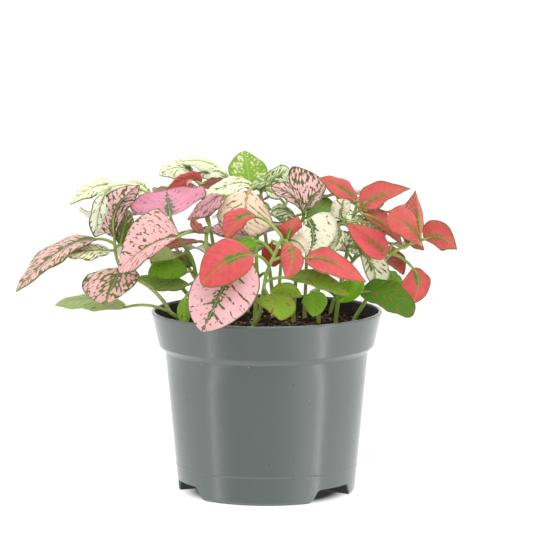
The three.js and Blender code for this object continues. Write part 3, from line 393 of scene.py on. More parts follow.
def blade(leaf, t, s):
    """Grid of points over t (rows) and s (columns), and the half width at each. Midrib: quadratic through
    base, middle, tip. Width share is (t/w)^p ((1-t)/(1-w))^q. Point = rib + side*share*|s|
    - up*span*share*(WAVE sin(..) s^2 - 4 BELLY |s|(1-|s|))."""
    base, tip, w = leaf["base"], leaf["tip"], leaf["widest"]
    pull = 2 * leaf["middle"] - base / 2 - tip / 2

    def heading(t):
        return unit(2 * (1 - t)[:, None] * (pull - base) + 2 * t[:, None] * (tip - pull))

    here = np.array([w])
    broad = bent(here, base, pull, tip)[0]
    to_left, to_right = leaf["left"] - broad, leaf["right"] - broad
    span = (np.linalg.norm(to_left) + np.linalg.norm(to_right)) / 2
    ahead = heading(t)
    left = turned(to_left, heading(here)[0], ahead)
    right = turned(to_right, heading(here)[0], ahead)
    up = unit(np.cross(left - right, ahead))
    tc = np.clip(t, 1e-4, 1 - 1e-4)
    full = leaf["fullness"]
    share = (tc / w) ** (full * w) * ((1 - tc) / (1 - w)) ** (full * (1 - w))
    out = np.abs(s)
    turns = 2 * np.pi * WAVES * t[:, None] + leaf["phase"] + np.where(s < 0, SIDE_PHASE, 0)
    lift = span * share[:, None] * (WAVE * np.sin(turns) * out**2 - 4 * BELLY * out * (1 - out))
    side = np.where((s < 0)[None, :, None], left[:, None], right[:, None])
    rib = bent(t, base, pull, tip)[:, None]
    grid = rib + side * (share[:, None] * out)[..., None] - up[:, None] * lift[..., None]
    half = share[:, None] * np.where(s < 0, np.linalg.norm(to_left), np.linalg.norm(to_right))
    return grid, half


def sheet_normals(grid):
    """Unit normals of a grid by central differences; across x along."""
    return unit(np.cross(np.gradient(grid, axis=1), np.gradient(grid, axis=0)))


class Build:
    """Collects points, faces and point attributes of one piece, in mm on the pot's axis."""

    # numbers per point of each attribute
    WIDTHS = {"flat": 2, "light": 4, "mark": 4, "look": 3, "size": 3, "side": 1}

    def __init__(self):
        self.points, self.faces, self.slots, self.data, self.count = [], [], [], {}, 0

    def add(self, points, faces, slot, **data):
        """Points (n, 3), quads (m, 4) with the last corner repeated for a triangle, a slot, attributes."""
        points = np.asarray(points, float).reshape(-1, 3)
        self.points.append(points)
        self.faces.append(np.asarray(faces) + self.count)
        self.slots.append(np.full(len(faces), slot))
        for key, wide in self.WIDTHS.items():
            value = np.asarray(data.get(key, 0.0), float)
            rows = value.reshape(-1, wide) if value.ndim else value
            self.data.setdefault(key, []).append(np.broadcast_to(rows, (len(points), wide)))
        self.count += len(points)

    def make(self, name, materials, inside=True):
        """The piece as one smooth mesh object, every face wound as given; inside keeps it in the CAD box."""
        faces = np.vstack(self.faces)
        sizes = np.where(faces[:, 2] == faces[:, 3], 3, 4)
        corners = faces[np.arange(4)[None, :] < sizes[:, None]]
        points = (np.vstack(self.points) + SHIFT) * MM
        if inside:
            points = np.clip(points, np.array(cad_bounds[0]) + KEEP_IN, np.array(cad_bounds[1]) - KEEP_IN)
        mesh = bpy.data.meshes.new(name)
        mesh.vertices.add(len(points))
        mesh.vertices.foreach_set("co", points.ravel())
        mesh.loops.add(len(corners))
        mesh.loops.foreach_set("vertex_index", corners)
        mesh.polygons.add(len(faces))
        mesh.polygons.foreach_set("loop_start", np.concatenate([[0], np.cumsum(sizes)[:-1]]))
        mesh.polygons.foreach_set("material_index", np.concatenate(self.slots).astype(np.int32))
        mesh.polygons.foreach_set("use_smooth", np.ones(len(faces), bool))
        for material in materials:
            mesh.materials.append(material)
        data = {key: np.vstack(rows) for key, rows in self.data.items()}
        mesh.uv_layers.new(name="flat").data.foreach_set("uv", data["flat"][corners].ravel())
        for key, kind, field in (("light", "FLOAT_COLOR", "color"), ("mark", "FLOAT_COLOR", "color"),
                                 ("look", "FLOAT_VECTOR", "vector"), ("size", "FLOAT_VECTOR", "vector"),
                                 ("side", "FLOAT", "value")):
            mesh.attributes.new(key, kind, "POINT").data.foreach_set(field, data[key].ravel())
        mesh.update()
        mesh.validate()
        piece = bpy.data.objects.new(name, mesh)
        bpy.context.scene.collection.objects.link(piece)
        return piece


def grid_faces(rows, columns, around=False):
    """Quads of a grid of points in row order; with around, the last column joins the first."""
    i = np.arange(rows - 1)[:, None]
    j = np.arange(columns if around else columns - 1)[None, :]
    k = (j + 1) % columns
    quads = np.stack([i * columns + j, i * columns + k, (i + 1) * columns + k, (i + 1) * columns + j], -1)
    return quads.reshape(-1, 4)


def capped(rings, first, last, turn_over=False):
    """Points and faces of a stack of rings (rows, columns, 3), closed by a fan to a point at each end."""
    rows, columns = rings.shape[:2]
    n = rows * columns
    quads = grid_faces(rows, columns, around=True)
    j = np.arange(columns)
    k = (j + 1) % columns
    if turn_over:
        quads, j, k = quads[:, ::-1], k, j
    low = np.stack([np.full(columns, n), k, j, j], -1)
    high = np.stack([np.full(columns, n + 1), n - columns + j, n - columns + k, n - columns + k], -1)
    return np.vstack([rings.reshape(-1, 3), first, last]), np.vstack([quads, low, high])


def spokes_of(count):
    """Unit directions round a circle, as rows of (cos, sin)."""
    a = 2 * np.pi * np.arange(count) / count
    return np.stack([np.cos(a), np.sin(a)], -1)


def tube(build, path, radii, slot, sides=10, **data):
    """A closed round tube along a path: each ring is the one before under the least turn."""
    ahead = unit(np.gradient(path, axis=0))
    side = unit(np.cross(ahead[0], [0.31, 0.17, 0.93] if abs(ahead[0][2]) < 0.9 else [0.9, 0.3, 0.1]))
    circle = spokes_of(sides)
    rings = []
    for i, spot in enumerate(path):
        side = unit(side - ahead[i] * np.dot(side, ahead[i]))
        rings.append(spot + radii[i] * (circle @ np.array([side, np.cross(ahead[i], side)])))
    ends = path[0] - ahead[0] * radii[0] * 0.5, path[-1] + ahead[-1] * radii[-1] * 0.8
    build.add(*capped(np.array(rings), *ends), slot, **data)


def curve(points, steps):
    """Catmull-Rom through the points, centripetal, evaluated steps times a span."""
    points = np.asarray(points, float)
    ends = np.vstack([2 * points[0] - points[1], points, 2 * points[-1] - points[-2]])
    out = []
    for i in range(1, len(ends) - 2):
        p = ends[i - 1:i + 3]
        d = np.maximum(np.sqrt(np.linalg.norm(np.diff(p, axis=0), axis=1)), 1e-6)
        k = np.concatenate([[0], np.cumsum(d)])
        t = np.linspace(k[1], k[2], steps, endpoint=False)[:, None]
        a = [((k[j + 1] - t) * p[j] + (t - k[j]) * p[j + 1]) / (k[j + 1] - k[j]) for j in range(3)]
        b = [((k[j + 2] - t) * a[j] + (t - k[j]) * a[j + 1]) / (k[j + 2] - k[j]) for j in range(2)]
        out.append(((k[2] - t) * b[0] + (t - k[1]) * b[1]) / (k[2] - k[1]))
    return np.vstack([*out, points[-1:]])


def grow_leaf(build, leaf, stem_colour):
    """One leaf: a thin closed blade of two sheets, its stalk, and a rib that tapers out below the midrib."""
    look = LOOKS[leaf["look"]]
    light, mark, (cover, band, edge, veining, soft) = look[:3], look[3:6], look[6:]
    length = np.linalg.norm(leaf["base"] - leaf["middle"]) + np.linalg.norm(leaf["middle"] - leaf["tip"])
    rows, columns = FINE_GRID if length > LONG_LEAF else COARSE_GRID
    t = 0.5 - 0.5 * np.cos(np.pi * np.linspace(0, 1, rows))
    s = np.linspace(-1, 1, columns)
    grid, half = blade(leaf, t, s)
    # the blade swells between its side veins, most half way to the margin
    vein = t[:, None] * length - VEIN_SLANT * np.abs(s) * half
    share = np.abs(s) ** 1.2 * (1 - 0.75 * np.abs(s) ** 3) * np.sin(np.pi * t)[:, None] ** 0.5
    swell = share * np.sin(2 * np.pi * vein / (VEIN_SPACING * length))
    grid = grid + sheet_normals(grid) * (SWELL * swell)[:, :, None]
    normals = sheet_normals(grid)
    centre = (rows // 2, columns // 2)
    shown_to = np.array([0, 0, 1]) if leaf["hidden"] else EYE_SPOT - grid[centre]
    faced = 1 if np.dot(normals[centre], shown_to) > 0 else -1
    if leaf["look"] in UNDER_LOOKS:
        faced = -faced
    thick = BLADE_THICK * np.sqrt(np.clip(4 * t * (1 - t), 0.02, 1))[:, None, None]
    sheets = np.array([grid + normals * thick / 2, grid - normals * thick / 2])
    quads = grid_faces(rows, columns)
    n = rows * columns
    margin = np.concatenate([
        np.arange(columns), np.arange(2, rows) * columns - 1, np.arange(n - 1, n - columns - 1, -1),
        np.arange(rows - 2, 0, -1) * columns,
    ])
    after = np.roll(margin, -1)
    wall = np.stack([margin + n, after + n, after, margin], -1)
    flat = np.stack(np.broadcast_arrays(s[None, :] * half, t[:, None] * length), -1)
    size = np.stack(np.broadcast_arrays(half + 0 * s, length, float(leaf["seed"])), -1)
    build.add(
        sheets, np.vstack([quads, quads[:, ::-1] + n, wall]), 0,
        flat=np.tile(flat.reshape(-1, 2), (2, 1)), size=np.tile(size.reshape(-1, 3), (2, 1)),
        light=linear(light) * [*DIM, soft], mark=linear(mark) * [*DIM, veining],
        look=np.array([cover, band, edge]), side=np.repeat([faced, -faced], n),
    )
    start, base = leaf["start"], leaf["base"]
    bow = (start + base) / 2 + [0, 0, 0.1 * np.linalg.norm(base - start)]
    stalk = bent(np.linspace(0, 1, STALK_RINGS), start, 2 * bow - (start + base) / 2, base)
    rib, _ = blade(leaf, np.linspace(0.03, 0.93, RIB_RINGS), np.array([-0.02, 0.0, 0.02]))
    path = np.vstack([stalk, rib[:, 1] + sheet_normals(rib)[:, 1] * -faced * RIB_DROP])
    radii = np.concatenate([np.linspace(STALK_FOOT_RADIUS, PETIOLE_RADIUS, STALK_RINGS),
                            np.linspace(PETIOLE_RADIUS * 0.85, RIB_TIP_RADIUS, RIB_RINGS)])
    tube(build, path, radii, 1, sides=8, light=linear(stem_colour), size=np.array([0, 0, leaf["seed"]]))


def far_leaf(start, length, lift, turn):
    """Spots of a leaf on the far side, from its length and its lift and turn in degrees."""
    azimuth, climb = math.radians(turn), math.radians(lift)
    out = np.array([math.cos(azimuth), math.sin(azimuth), 0.0])
    over = np.array([-out[1], out[0], 0.0])
    reach = HIDDEN_STALK * length
    base = start + out * reach
    base[2] = start[2] + 0.5 * reach

    def spot(share, drop):
        rise = length * (share * math.sin(climb) - drop)
        return base + out * share * length * math.cos(climb) + np.array([0, 0, rise])

    broad = spot(HIDDEN_WIDEST, 0)
    left = broad + over * HIDDEN_HALF_WIDTH * length
    right = broad - over * HIDDEN_HALF_WIDTH * length
    # turn and length stand in for random numbers here, so that the folds differ
    left[2] += HIDDEN_FOLD * length * (1 + math.sin(turn))
    right[2] += HIDDEN_FOLD * length * (1 + math.cos(length))
    return dict(base=base, middle=spot(0.5, 0.02), tip=spot(0.93, 0.2), left=left, right=right)


def leaves_of(name, points):
    """The leaves of one stem, laid out by their rows or, on the far side, by their rule."""
    found = []
    for i, (stem, at, look, *numbers) in enumerate(LEAVES):
        if stem != name:
            continue
        spots = [sight(spot) for spot in np.reshape(numbers[:15], (5, 3))]
        widest, fullness = numbers[15:] + [WIDEST, FULLNESS][len(numbers) - 15:]
        found.append(dict(
            zip(("base", "middle", "tip", "left", "right"), spots), start=along(points, at + 1), look=look,
            widest=widest, fullness=fullness, phase=(i * 1.7) % (2 * math.pi), seed=i, hidden=False,
        ))
    looks = HIDDEN_LOOKS[name.split("_")[0]]
    for i, (stem, at, length, lift, turn) in enumerate(HIDDEN_LEAVES):
        if stem != name:
            continue
        start = along(points, at)
        found.append(dict(
            far_leaf(start, length, lift, turn), start=start, look=looks[i % len(looks)],
            widest=HIDDEN_WIDEST, fullness=FULLNESS, phase=(turn * 0.7) % 6, seed=100 + i, hidden=True,
        ))
    return found


class Value:
    """A socket whose operators add Math nodes to its tree."""

    def __init__(self, tree, socket):
        self.tree, self.socket = tree, socket

    def maths(self, operation, *others):
        return self.tree.node("ShaderNodeMath", {"operation": operation}, self, *others)["Value"]

    def __add__(self, other):
        return self.maths("ADD", other)

    __radd__ = __add__

    def __mul__(self, other):
        return self.maths("MULTIPLY", other)

    __rmul__ = __mul__

    def __sub__(self, other):
        return self.maths("SUBTRACT", other)

    def __rsub__(self, other):
        return (self * -1) + other

    def __truediv__(self, other):
        return self.maths("DIVIDE", other)

    def __abs__(self):
        return self.maths("ABSOLUTE")

    def at_least(self, low):
        return self.maths("MAXIMUM", low)

    def at_most(self, high):
        return self.maths("MINIMUM", high)


def hypot(x, y):
    return (x * x + y * y).maths("SQRT")


def bell(square):
    """1 where the squared distance is 0, falling off as exp(-square)."""
    return (square * -1).maths("EXPONENT")


class Tree:
    """A material's node tree."""

    def __init__(self, name):
        self.material = bpy.data.materials.new(name)
        self.material.use_nodes = True
        self.nodes = self.material.node_tree.nodes
        self.links = self.material.node_tree.links
        self.nodes.clear()
        self.shader = self.nodes.new("ShaderNodeBsdfPrincipled")
        output = self.nodes.new("ShaderNodeOutputMaterial")
        self.links.new(self.shader.outputs[0], output.inputs["Surface"])

    def node(self, kind, settings=None, *inputs, **named):
        """A node of a kind: settings first, then inputs by place or by name. Gives its outputs by name."""
        made = self.nodes.new(kind)
        for key, value in (settings or {}).items():
            setattr(made, key, value)
        for key, value in [*enumerate(inputs), *named.items()]:
            self.put(made.inputs[key], value)
        return {o.name: Value(self, o) for o in reversed(made.outputs) if o.enabled}

    def put(self, socket, value):
        if isinstance(value, Value):
            self.links.new(value.socket, socket)
        else:
            socket.default_value = value

    def attribute(self, name):
        return self.node("ShaderNodeAttribute", {"attribute_name": name})

    def place(self):
        """The spot on the piece, in metres in the part's frame."""
        return self.node("ShaderNodeTexCoord")["Object"]

    def parts(self, vector):
        found = self.node("ShaderNodeSeparateXYZ", None, vector)
        return found["X"], found["Y"], found["Z"]

    def vector(self, x, y, z):
        return self.node("ShaderNodeCombineXYZ", None, x, y, z)["Vector"]

    def mix(self, factor, a, b):
        """a to b by factor, as colours."""
        made = self.nodes.new("ShaderNodeMix")
        made.data_type = "RGBA"
        for index, value in ((0, factor), (6, a), (7, b)):
            self.put(made.inputs[index], value)
        return Value(self, made.outputs[2])

    def times(self, colour, amount):
        """A colour times a number."""
        return self.node("ShaderNodeVectorMath", {"operation": "SCALE"}, colour, Scale=amount)["Vector"]

    def step(self, value, low, high):
        """0 below low, 1 above high, smooth between; the other way round where low is the greater."""
        settings = {"interpolation_type": "SMOOTHSTEP"}
        return self.node("ShaderNodeMapRange", settings, value, low, high, 0.0, 1.0)["Result"]

    def noise(self, place, scale, detail=2.0):
        settings = {"noise_dimensions": "3D"}
        return self.node("ShaderNodeTexNoise", settings, Vector=place, Scale=scale, Detail=detail)["Fac"]

    def bump(self, height, distance, strength):
        made = self.node("ShaderNodeBump", None, Height=height, Distance=distance, Strength=strength)
        self.put(self.shader.inputs["Normal"], made["Normal"])

    def finish(self, colour, roughness, specular):
        self.put(self.shader.inputs["Base Color"], colour)
        self.put(self.shader.inputs["Roughness"], roughness)
        self.shader.inputs["Specular IOR Level"].default_value = specular
        return self.material


def leaf_material():
    """Two-coloured blade: dots of the light colour, drawn out along the side veins, with marks between them
    that widen with the cover; a marked band on the midrib, a dark margin, and a paler sheet below. Red leaves
    have a green blotch on the midrib and tan veins instead, by their share of soft."""
    t = Tree("leaf_blade")
    x, y, _ = t.parts(t.node("ShaderNodeUVMap", {"uv_map": "flat"})["UV"])  # mm across and along the blade
    cover, band, edge = t.parts(t.attribute("look")["Vector"])
    half, length, seed = t.parts(t.attribute("size")["Vector"])
    side = t.attribute("side")["Fac"]
    lights, marks = t.attribute("light"), t.attribute("mark")
    light, soft = lights["Color"], lights["Alpha"]
    mark, veining = marks["Color"], marks["Alpha"]
    plain = 1 - soft * 0.85
    out = abs(x)
    share = out / (half + 0.01)

    # unevenness: blots bend the veins, spots break the marks up, spread varies them over the blade
    blots = t.noise(t.vector(x * 0.3, y * 0.3, seed * 5.1 + 9), 1.0, 2.0)
    vein = y - out * VEIN_SLANT + (blots - 0.5) * 1.6
    spots = t.noise(t.vector(x * 0.65, vein * 0.9, seed * 3.7), 1.0, 3.0)
    spread = t.noise(t.vector(x * 0.11, y * 0.11, seed * 1.9), 1.0, 1.0)
    cell_at = t.vector(x * 0.42 + seed * 11.3, vein * 0.55 + seed * 7.7, 0.0)
    flat_cells = {"voronoi_dimensions": "2D"}
    cells = t.node("ShaderNodeTexVoronoi", flat_cells, Vector=cell_at, Scale=1.0)["Distance"]

    # marks: the gaps between the cells' middles, and the band along the midrib
    taper = (1.3 - y / length * 1.15).at_least(0.12)
    band_reach = out / (band * (blots * 3.4 - 0.7).at_least(0.05) * taper + 0.01)
    on_band = bell(band_reach * band_reach)
    reach = cover * (1 + (spread - 0.5) * 1.6) + on_band * (1.15 - soft * 1.3)
    reach = reach + t.step(share, 0.72, 1.0) * (cover * 0.6 + 0.03)
    marked = t.step(cells + (spots - 0.5) * 1.3 + reach * 0.8 - 0.84, -0.05, 0.06) * plain

    # marks that follow the side veins in broken lines
    spacing = length * VEIN_SPACING
    phase = (vein / spacing).maths("FRACT")
    near = abs(phase - 0.5) * spacing
    runs = t.noise(t.vector(x * 0.22, (vein / spacing).maths("FLOOR") * 3.3, seed * 2.3), 1.0, 2.0)
    broken = t.step(runs + spots * 0.5 + veining * 0.22, 0.91, 0.96)
    broken = broken * t.step(near + spots * 0.5 - veining * 0.15, 0.95, 0.6)
    broken = broken * t.step(share, 1.0, 0.8) * plain
    marked = marked.maths("MAXIMUM", broken * (veining * 3).at_most(1.0).at_least(0.0))

    # ground: the light colour with its fine veins, a haze along the midrib and the red leaves' green blotch
    lines = t.step(near, 0.34, 0.08)
    paler = (veining * -1).at_least(0.0)
    shade = t.mix(t.step(blots, 0.4, 0.66) * soft, light, t.times(light, 0.84))
    ground = t.times(shade, 0.9 + spread * 0.2)
    vein_tint = t.times(t.mix((0.5 - paler * 4).at_least(0.0), light, mark), 1 + paler)
    vein_tint = t.mix(soft, vein_tint, (*linear(TAN)[:3] * DIM, 1))
    ground = t.mix(lines * (0.14 + paler + soft * 0.4 * runs), ground, vein_tint)
    haze = bell(out * out / (band * band * 5 + 0.01)) * t.step(share, 1.0, 0.3)
    ground = t.mix(haze * taper * blots * (0.48 + soft * 0.2), ground, mark)
    on_blotch = t.step(out / (band * 1.9 + 0.01), 1.0, 0.5)
    on_blotch = on_blotch * t.step(abs(y / length - 0.36), 0.3, 0.12)
    on_blotch = on_blotch * t.step(blots + spots * 0.6 - share * 0.9, 0.42, 0.72)
    ground = t.mix((on_blotch * soft * 1.3).at_most(1.0), ground, mark)

    # upper sheet: marks on the ground, then the midrib and the margin
    speck = t.mix(t.step(cover, 0.62, 0.5) * 0.45, mark, paint(*SPECK_BROWN))
    tint = t.times(t.mix(on_band, speck, mark), 0.85 + spots * 0.3)
    colour = t.mix(marked * 0.96, ground, tint)
    colour = t.mix(t.step(out, 0.45, 0.15) * (0.5 + soft * 0.3), colour, vein_tint)
    rim = t.step(half - out, 0.95, 0.35) * edge
    colour = t.mix(rim, colour, t.mix(0.7, mark, speck))

    # lower sheet
    pale = t.mix(0.45, t.mix(0.12, light, mark), paint(228, 226, 204))
    below = t.mix(marked * 0.5, pale, t.mix(0.6, pale, mark))
    below = t.mix(lines * 0.3, below, paint(226, 228, 205))
    colour = t.mix(t.step(side, -0.2, 0.2), below, colour)

    # relief: each side vein lies in a groove
    hill = abs(phase - 0.5) * 2
    fine = t.noise(t.vector(x, y, seed), 1.6, 2.0)
    t.bump((hill.maths("POWER", 0.6) * side * 0.3) + fine * 0.12, 0.001, 0.9)
    return t.finish(colour, 0.42 + spots * 0.12, 0.18)


def stem_material():
    """Stalk and stem: the stem's own colour, streaked and blotched."""
    t = Tree("stem_skin")
    place = t.place()
    light = t.attribute("light")["Color"]
    patches = t.noise(place, 120.0, 3.0)
    streak = t.noise(place, 900.0)
    yellower = t.mix(0.35, light, (0.45, 0.5, 0.18, 1))
    colour = t.mix(t.step(patches, 0.42, 0.62), t.times(light, 0.85), yellower)
    colour = t.times(colour, 0.85 + streak * 0.3)
    t.bump(streak, 0.0004, 0.6)
    return t.finish(colour, 0.55, 0.3)


def pot_material():
    """Grey moulded plastic: satin, with fine grain, specks of dirt and dust, soil clinging inside, and
    painted shade in the channels.
    """
    t = Tree("pot_plastic")
    place = t.place()
    grain = t.noise(place, 1400.0)
    dirt = t.noise(place, 260.0, 3.0)
    dust = t.noise(place, 410.0, 1.0)
    colour = t.mix(grain, paint(88, 94, 92), paint(96, 102, 100))
    colour = t.mix(t.step(dirt, 0.70, 0.76) * 0.7, colour, paint(88, 70, 52))
    colour = t.mix(t.step(dust, 0.81, 0.84) * 0.6, colour, paint(190, 194, 192))
    # soil clings to the wall inside, up to just under the lip
    x, y, z = t.parts(place)
    from_axis = hypot(x - SHIFT[0] * MM, y - SHIFT[1] * MM)
    widening = (RIM_RADIUS - RIM_LOW_RADIUS) / (POT_HEIGHT - RIM_LOW_Z)
    deep = RIM_LOW_RADIUS * MM + (z - RIM_LOW_Z * MM) * widening - from_axis
    under_lip = t.step(z + dirt * 4 * MM, (POT_HEIGHT + 1.8) * MM, (POT_HEIGHT + 0.2) * MM)
    high = t.step(z, (RIM_LOW_Z + 2) * MM, (RIM_LOW_Z + 3) * MM) * under_lip
    smeared = t.step(deep, WALL * 0.4 * MM, WALL * 0.8 * MM) * high
    # painted shade: the channels and the inside of the feet are painted dark, as in the shadow under the pot
    low = t.step(z, (CHANNEL_HEIGHT + 1) * MM, CHANNEL_HEIGHT * 0.8 * MM)
    channel = t.step(FOOT_RADIUS * MM - from_axis, 0.3 * MM, 1.3 * MM) * low
    colour = t.mix(channel * 0.9, colour, paint(24, 28, 26))
    soiled = t.mix(t.step(grain, 0.42, 0.66), paint(14, 13, 11), paint(66, 58, 46))
    colour = t.mix(smeared * 0.96, colour, soiled)
    t.bump(grain, 0.0001, 0.5)
    return t.finish(colour, smeared.at_least(channel) * 0.75 + 0.2, 0.5)


def soil_material():
    """Dark crumbly compost with paler bits."""
    t = Tree("soil_crumbs")
    place = t.place()
    crumbs = t.noise(place, 420.0, 4.0)
    bits = t.noise(place, 900.0, 3.0)
    colour = t.mix(t.step(crumbs, 0.42, 0.64), paint(15, 11, 8), paint(98, 74, 46))
    colour = t.mix(t.step(bits, 0.68, 0.72) * 0.8, colour, paint(176, 148, 108))
    t.bump(crumbs, 0.002, 0.9)
    return t.finish(colour, 0.95, 0.2)


def crumb_material(name, colour):
    """A loose crumb of one colour, unevenly toned."""
    t = Tree(name)
    tone = t.noise(t.place(), 1200.0, 3.0)
    t.bump(tone, 0.0005, 0.8)
    return t.finish(t.times(tuple(linear(colour))[:3], 0.7 + tone * 0.6), 0.9, 0.2)


def lathe_solid(name, profile, sides):
    """Profile of (radius, z) from the axis to the axis turned round the pot's axis."""
    profile = np.array(profile, float)
    body = profile[1:-1]
    level = np.repeat(body[:, None, 1:], sides, 1)
    rings = np.concatenate([body[:, None, :1] * spokes_of(sides)[None], level], -1)
    build = Build()
    build.add(*capped(rings, [0, 0, profile[0, 1]], [0, 0, profile[-1, 1]]), 0)
    return build.make(name, [])


def cut(target, operation, *tools):
    """The target's mesh after booleans with the tools, which are then removed."""
    for tool in tools:
        change = target.modifiers.new("cut", "BOOLEAN")
        change.operation = operation
        change.solver = "MANIFOLD"
        change.object = tool
    bpy.context.view_layer.update()
    done = bpy.data.meshes.new_from_object(target.evaluated_get(bpy.context.evaluated_depsgraph_get()))
    target.modifiers.clear()
    old = target.data
    target.data = done
    bpy.data.meshes.remove(old)
    for tool in tools:
        mesh = tool.data
        bpy.data.objects.remove(tool)
        bpy.data.meshes.remove(mesh)


def channel_axes(turn):
    """Unit directions out along a channel and across it."""
    a = math.radians(turn)
    return np.array([math.sin(a), -math.cos(a), 0.0]), np.array([math.cos(a), math.sin(a), 0.0])


def channel_sizes(extra):
    """Height, half width at the foot and half width at the top of a channel, wider all round by extra."""
    return CHANNEL_HEIGHT + extra, CHANNEL_HALF_FOOT + extra, CHANNEL_HALF_TOP + extra


def channel_tools(extra):
    """Prisms of the channels between the feet, each run 80 mm outwards from the axis at its turn."""
    top, foot, crown = channel_sizes(extra)
    edge = [(foot + 2.1, -5), (foot + 2.1, 0), (foot + 1.1, 0.25), (foot + 0.3, 0.8), (foot - 0.25, 1.5),
            (foot - 0.7, 2.3), (crown + 1.6, top - 2), (crown + 1.2, top - 1.1), (crown + 0.5, top - 0.5),
            (crown - 0.9, top)]
    outline = np.array(edge + [(-x, z) for x, z in edge[::-1]])
    made = []
    for turn in CHANNEL_TURNS:
        ahead, over = channel_axes(turn)
        near = outline[:, :1] * over + outline[:, 1:] * np.array([0, 0, 1.0])
        rings = np.array([near, near + ahead * 80])
        build = Build()
        build.add(*capped(rings, rings[0].mean(0), rings[1].mean(0)), 0)
        made.append(build.make("channel", []))
    return made


def arc(cx, cz, r, start, end, steps):
    """Points of a round corner, angles in degrees from +X."""
    a = np.radians(np.linspace(start, end, steps))
    return [(cx + r * math.cos(v), cz + r * math.sin(v)) for v in a]


def pot_profile():
    """Outline of the pot's wall as (radius, z), from the bottom's middle out, up and back down inside."""
    profile = [(0, 0)] + arc(FOOT_RADIUS - FOOT_ROUND, FOOT_ROUND, FOOT_ROUND, -90, 0, 8)
    ring = [RING_Z + dz for dz in (-0.8, -0.5, 0, 0.5, 0.8)]
    for z in (9, *ring, 30, 45, 60):
        wall = FOOT_RADIUS + (NECK_RADIUS - FOOT_RADIUS) * (z - TAPER_Z) / (NECK_Z - TAPER_Z)
        profile.append((wall + (RING_BULGE if z == RING_Z else 0), z))
    return [
        *profile,
        (NECK_RADIUS - 0.03, NECK_Z - 0.4), (NECK_RADIUS + 0.25, NECK_Z + 0.1),
        (RIM_LOW_RADIUS - 0.9, RIM_LOW_Z - 0.65), (RIM_LOW_RADIUS - 0.25, RIM_LOW_Z - 0.15),
        (RIM_LOW_RADIUS, RIM_LOW_Z + 0.6), (RIM_RADIUS - 0.75, POT_HEIGHT - 2.6),
        (RIM_RADIUS - 0.25, POT_HEIGHT - 1.6), *arc(RIM_RADIUS - 0.7, POT_HEIGHT - 0.7, 0.7, 0, 90, 7),
        *arc(RIM_RADIUS - WALL + 0.1, POT_HEIGHT - 0.4, 0.4, 90, 180, 4),
        (RIM_RADIUS - WALL - 0.4, POT_HEIGHT - 1.4), (RIM_LOW_RADIUS - WALL, RIM_LOW_Z + 1.2),
        (NECK_RADIUS - WALL, NECK_Z + 0.4), (FOOT_RADIUS - WALL, WALL + 1.2),
        (FOOT_RADIUS - WALL - 1, WALL), (0, WALL),
    ]


def make_pot(material):
    """The pot: lathe with rounded edges, joined to the channels' walls, less the channels and drains."""
    pot = lathe_solid("pot_shell", pot_profile(), POT_SIDES)
    walls, *others = channel_tools(WALL)
    cut(walls, "UNION", *others)
    room = [(0, 0.7), (FOOT_RADIUS - 0.7, 0.7), (FOOT_RADIUS + 0.2, 9.7), (0, 9.7)]
    cut(walls, "INTERSECT", lathe_solid("room", room, POT_SIDES))
    cut(pot, "UNION", walls)
    cut(pot, "DIFFERENCE", *channel_tools(0))
    drains = []
    for spot in [np.zeros(3), *(channel_axes(turn)[0] * DRAIN_REACH for turn in CHANNEL_TURNS)]:
        drain = lathe_solid("drain", [(0, -6), (DRAIN_RADIUS, -6), (DRAIN_RADIUS, 14), (0, 14)], 48)
        drain.data.transform(Matrix.Translation(Vector(spot * MM)))
        drains.append(drain)
    cut(pot, "DIFFERENCE", *drains)
    mesh = pot.data
    mesh.materials.clear()
    mesh.materials.append(material)
    mesh.polygons.foreach_set("material_index", np.zeros(len(mesh.polygons), np.int32))
    mesh.polygons.foreach_set("use_smooth", np.ones(len(mesh.polygons), bool))
    mesh.set_sharp_from_angle(angle=math.radians(32))
    return pot


def rough(x, y, seed, scale):
    """Smooth seeded unevenness: a sum of turned sine waves of falling height."""
    rng = np.random.default_rng(seed)
    total = np.zeros_like(x)
    for k in range(9):
        a = rng.uniform(0, 2 * np.pi)
        f = scale * 1.45**k
        total = total + np.sin((x * math.cos(a) + y * math.sin(a)) * f + rng.uniform(0, 6.3)) / 1.3**k
    return total / 3


def soil_level(x, y):
    """Height of the soil's top without its finer crumbs."""
    return SOIL_Z - 0.5 + 0.9 * rough(x, y, SEED, 0.16)


def soil_floor(x, y, low):
    """Height of the soil's underside over a place: low, or more over a channel's walls."""
    top, foot, crown = channel_sizes(WALL + GAP)
    across, heights = [crown - 0.9, crown + 1.6, foot - 0.7, foot + 2.1], [top, top - 2, 2.2, 0]
    height = np.zeros_like(x)
    for turn in CHANNEL_TURNS:
        out, over = (x * axis[0] + y * axis[1] for axis in channel_axes(turn))
        here = np.interp(abs(over), across, heights)
        height = np.maximum(height, np.where(out > 0, here, 0))
    return np.maximum(low, height)


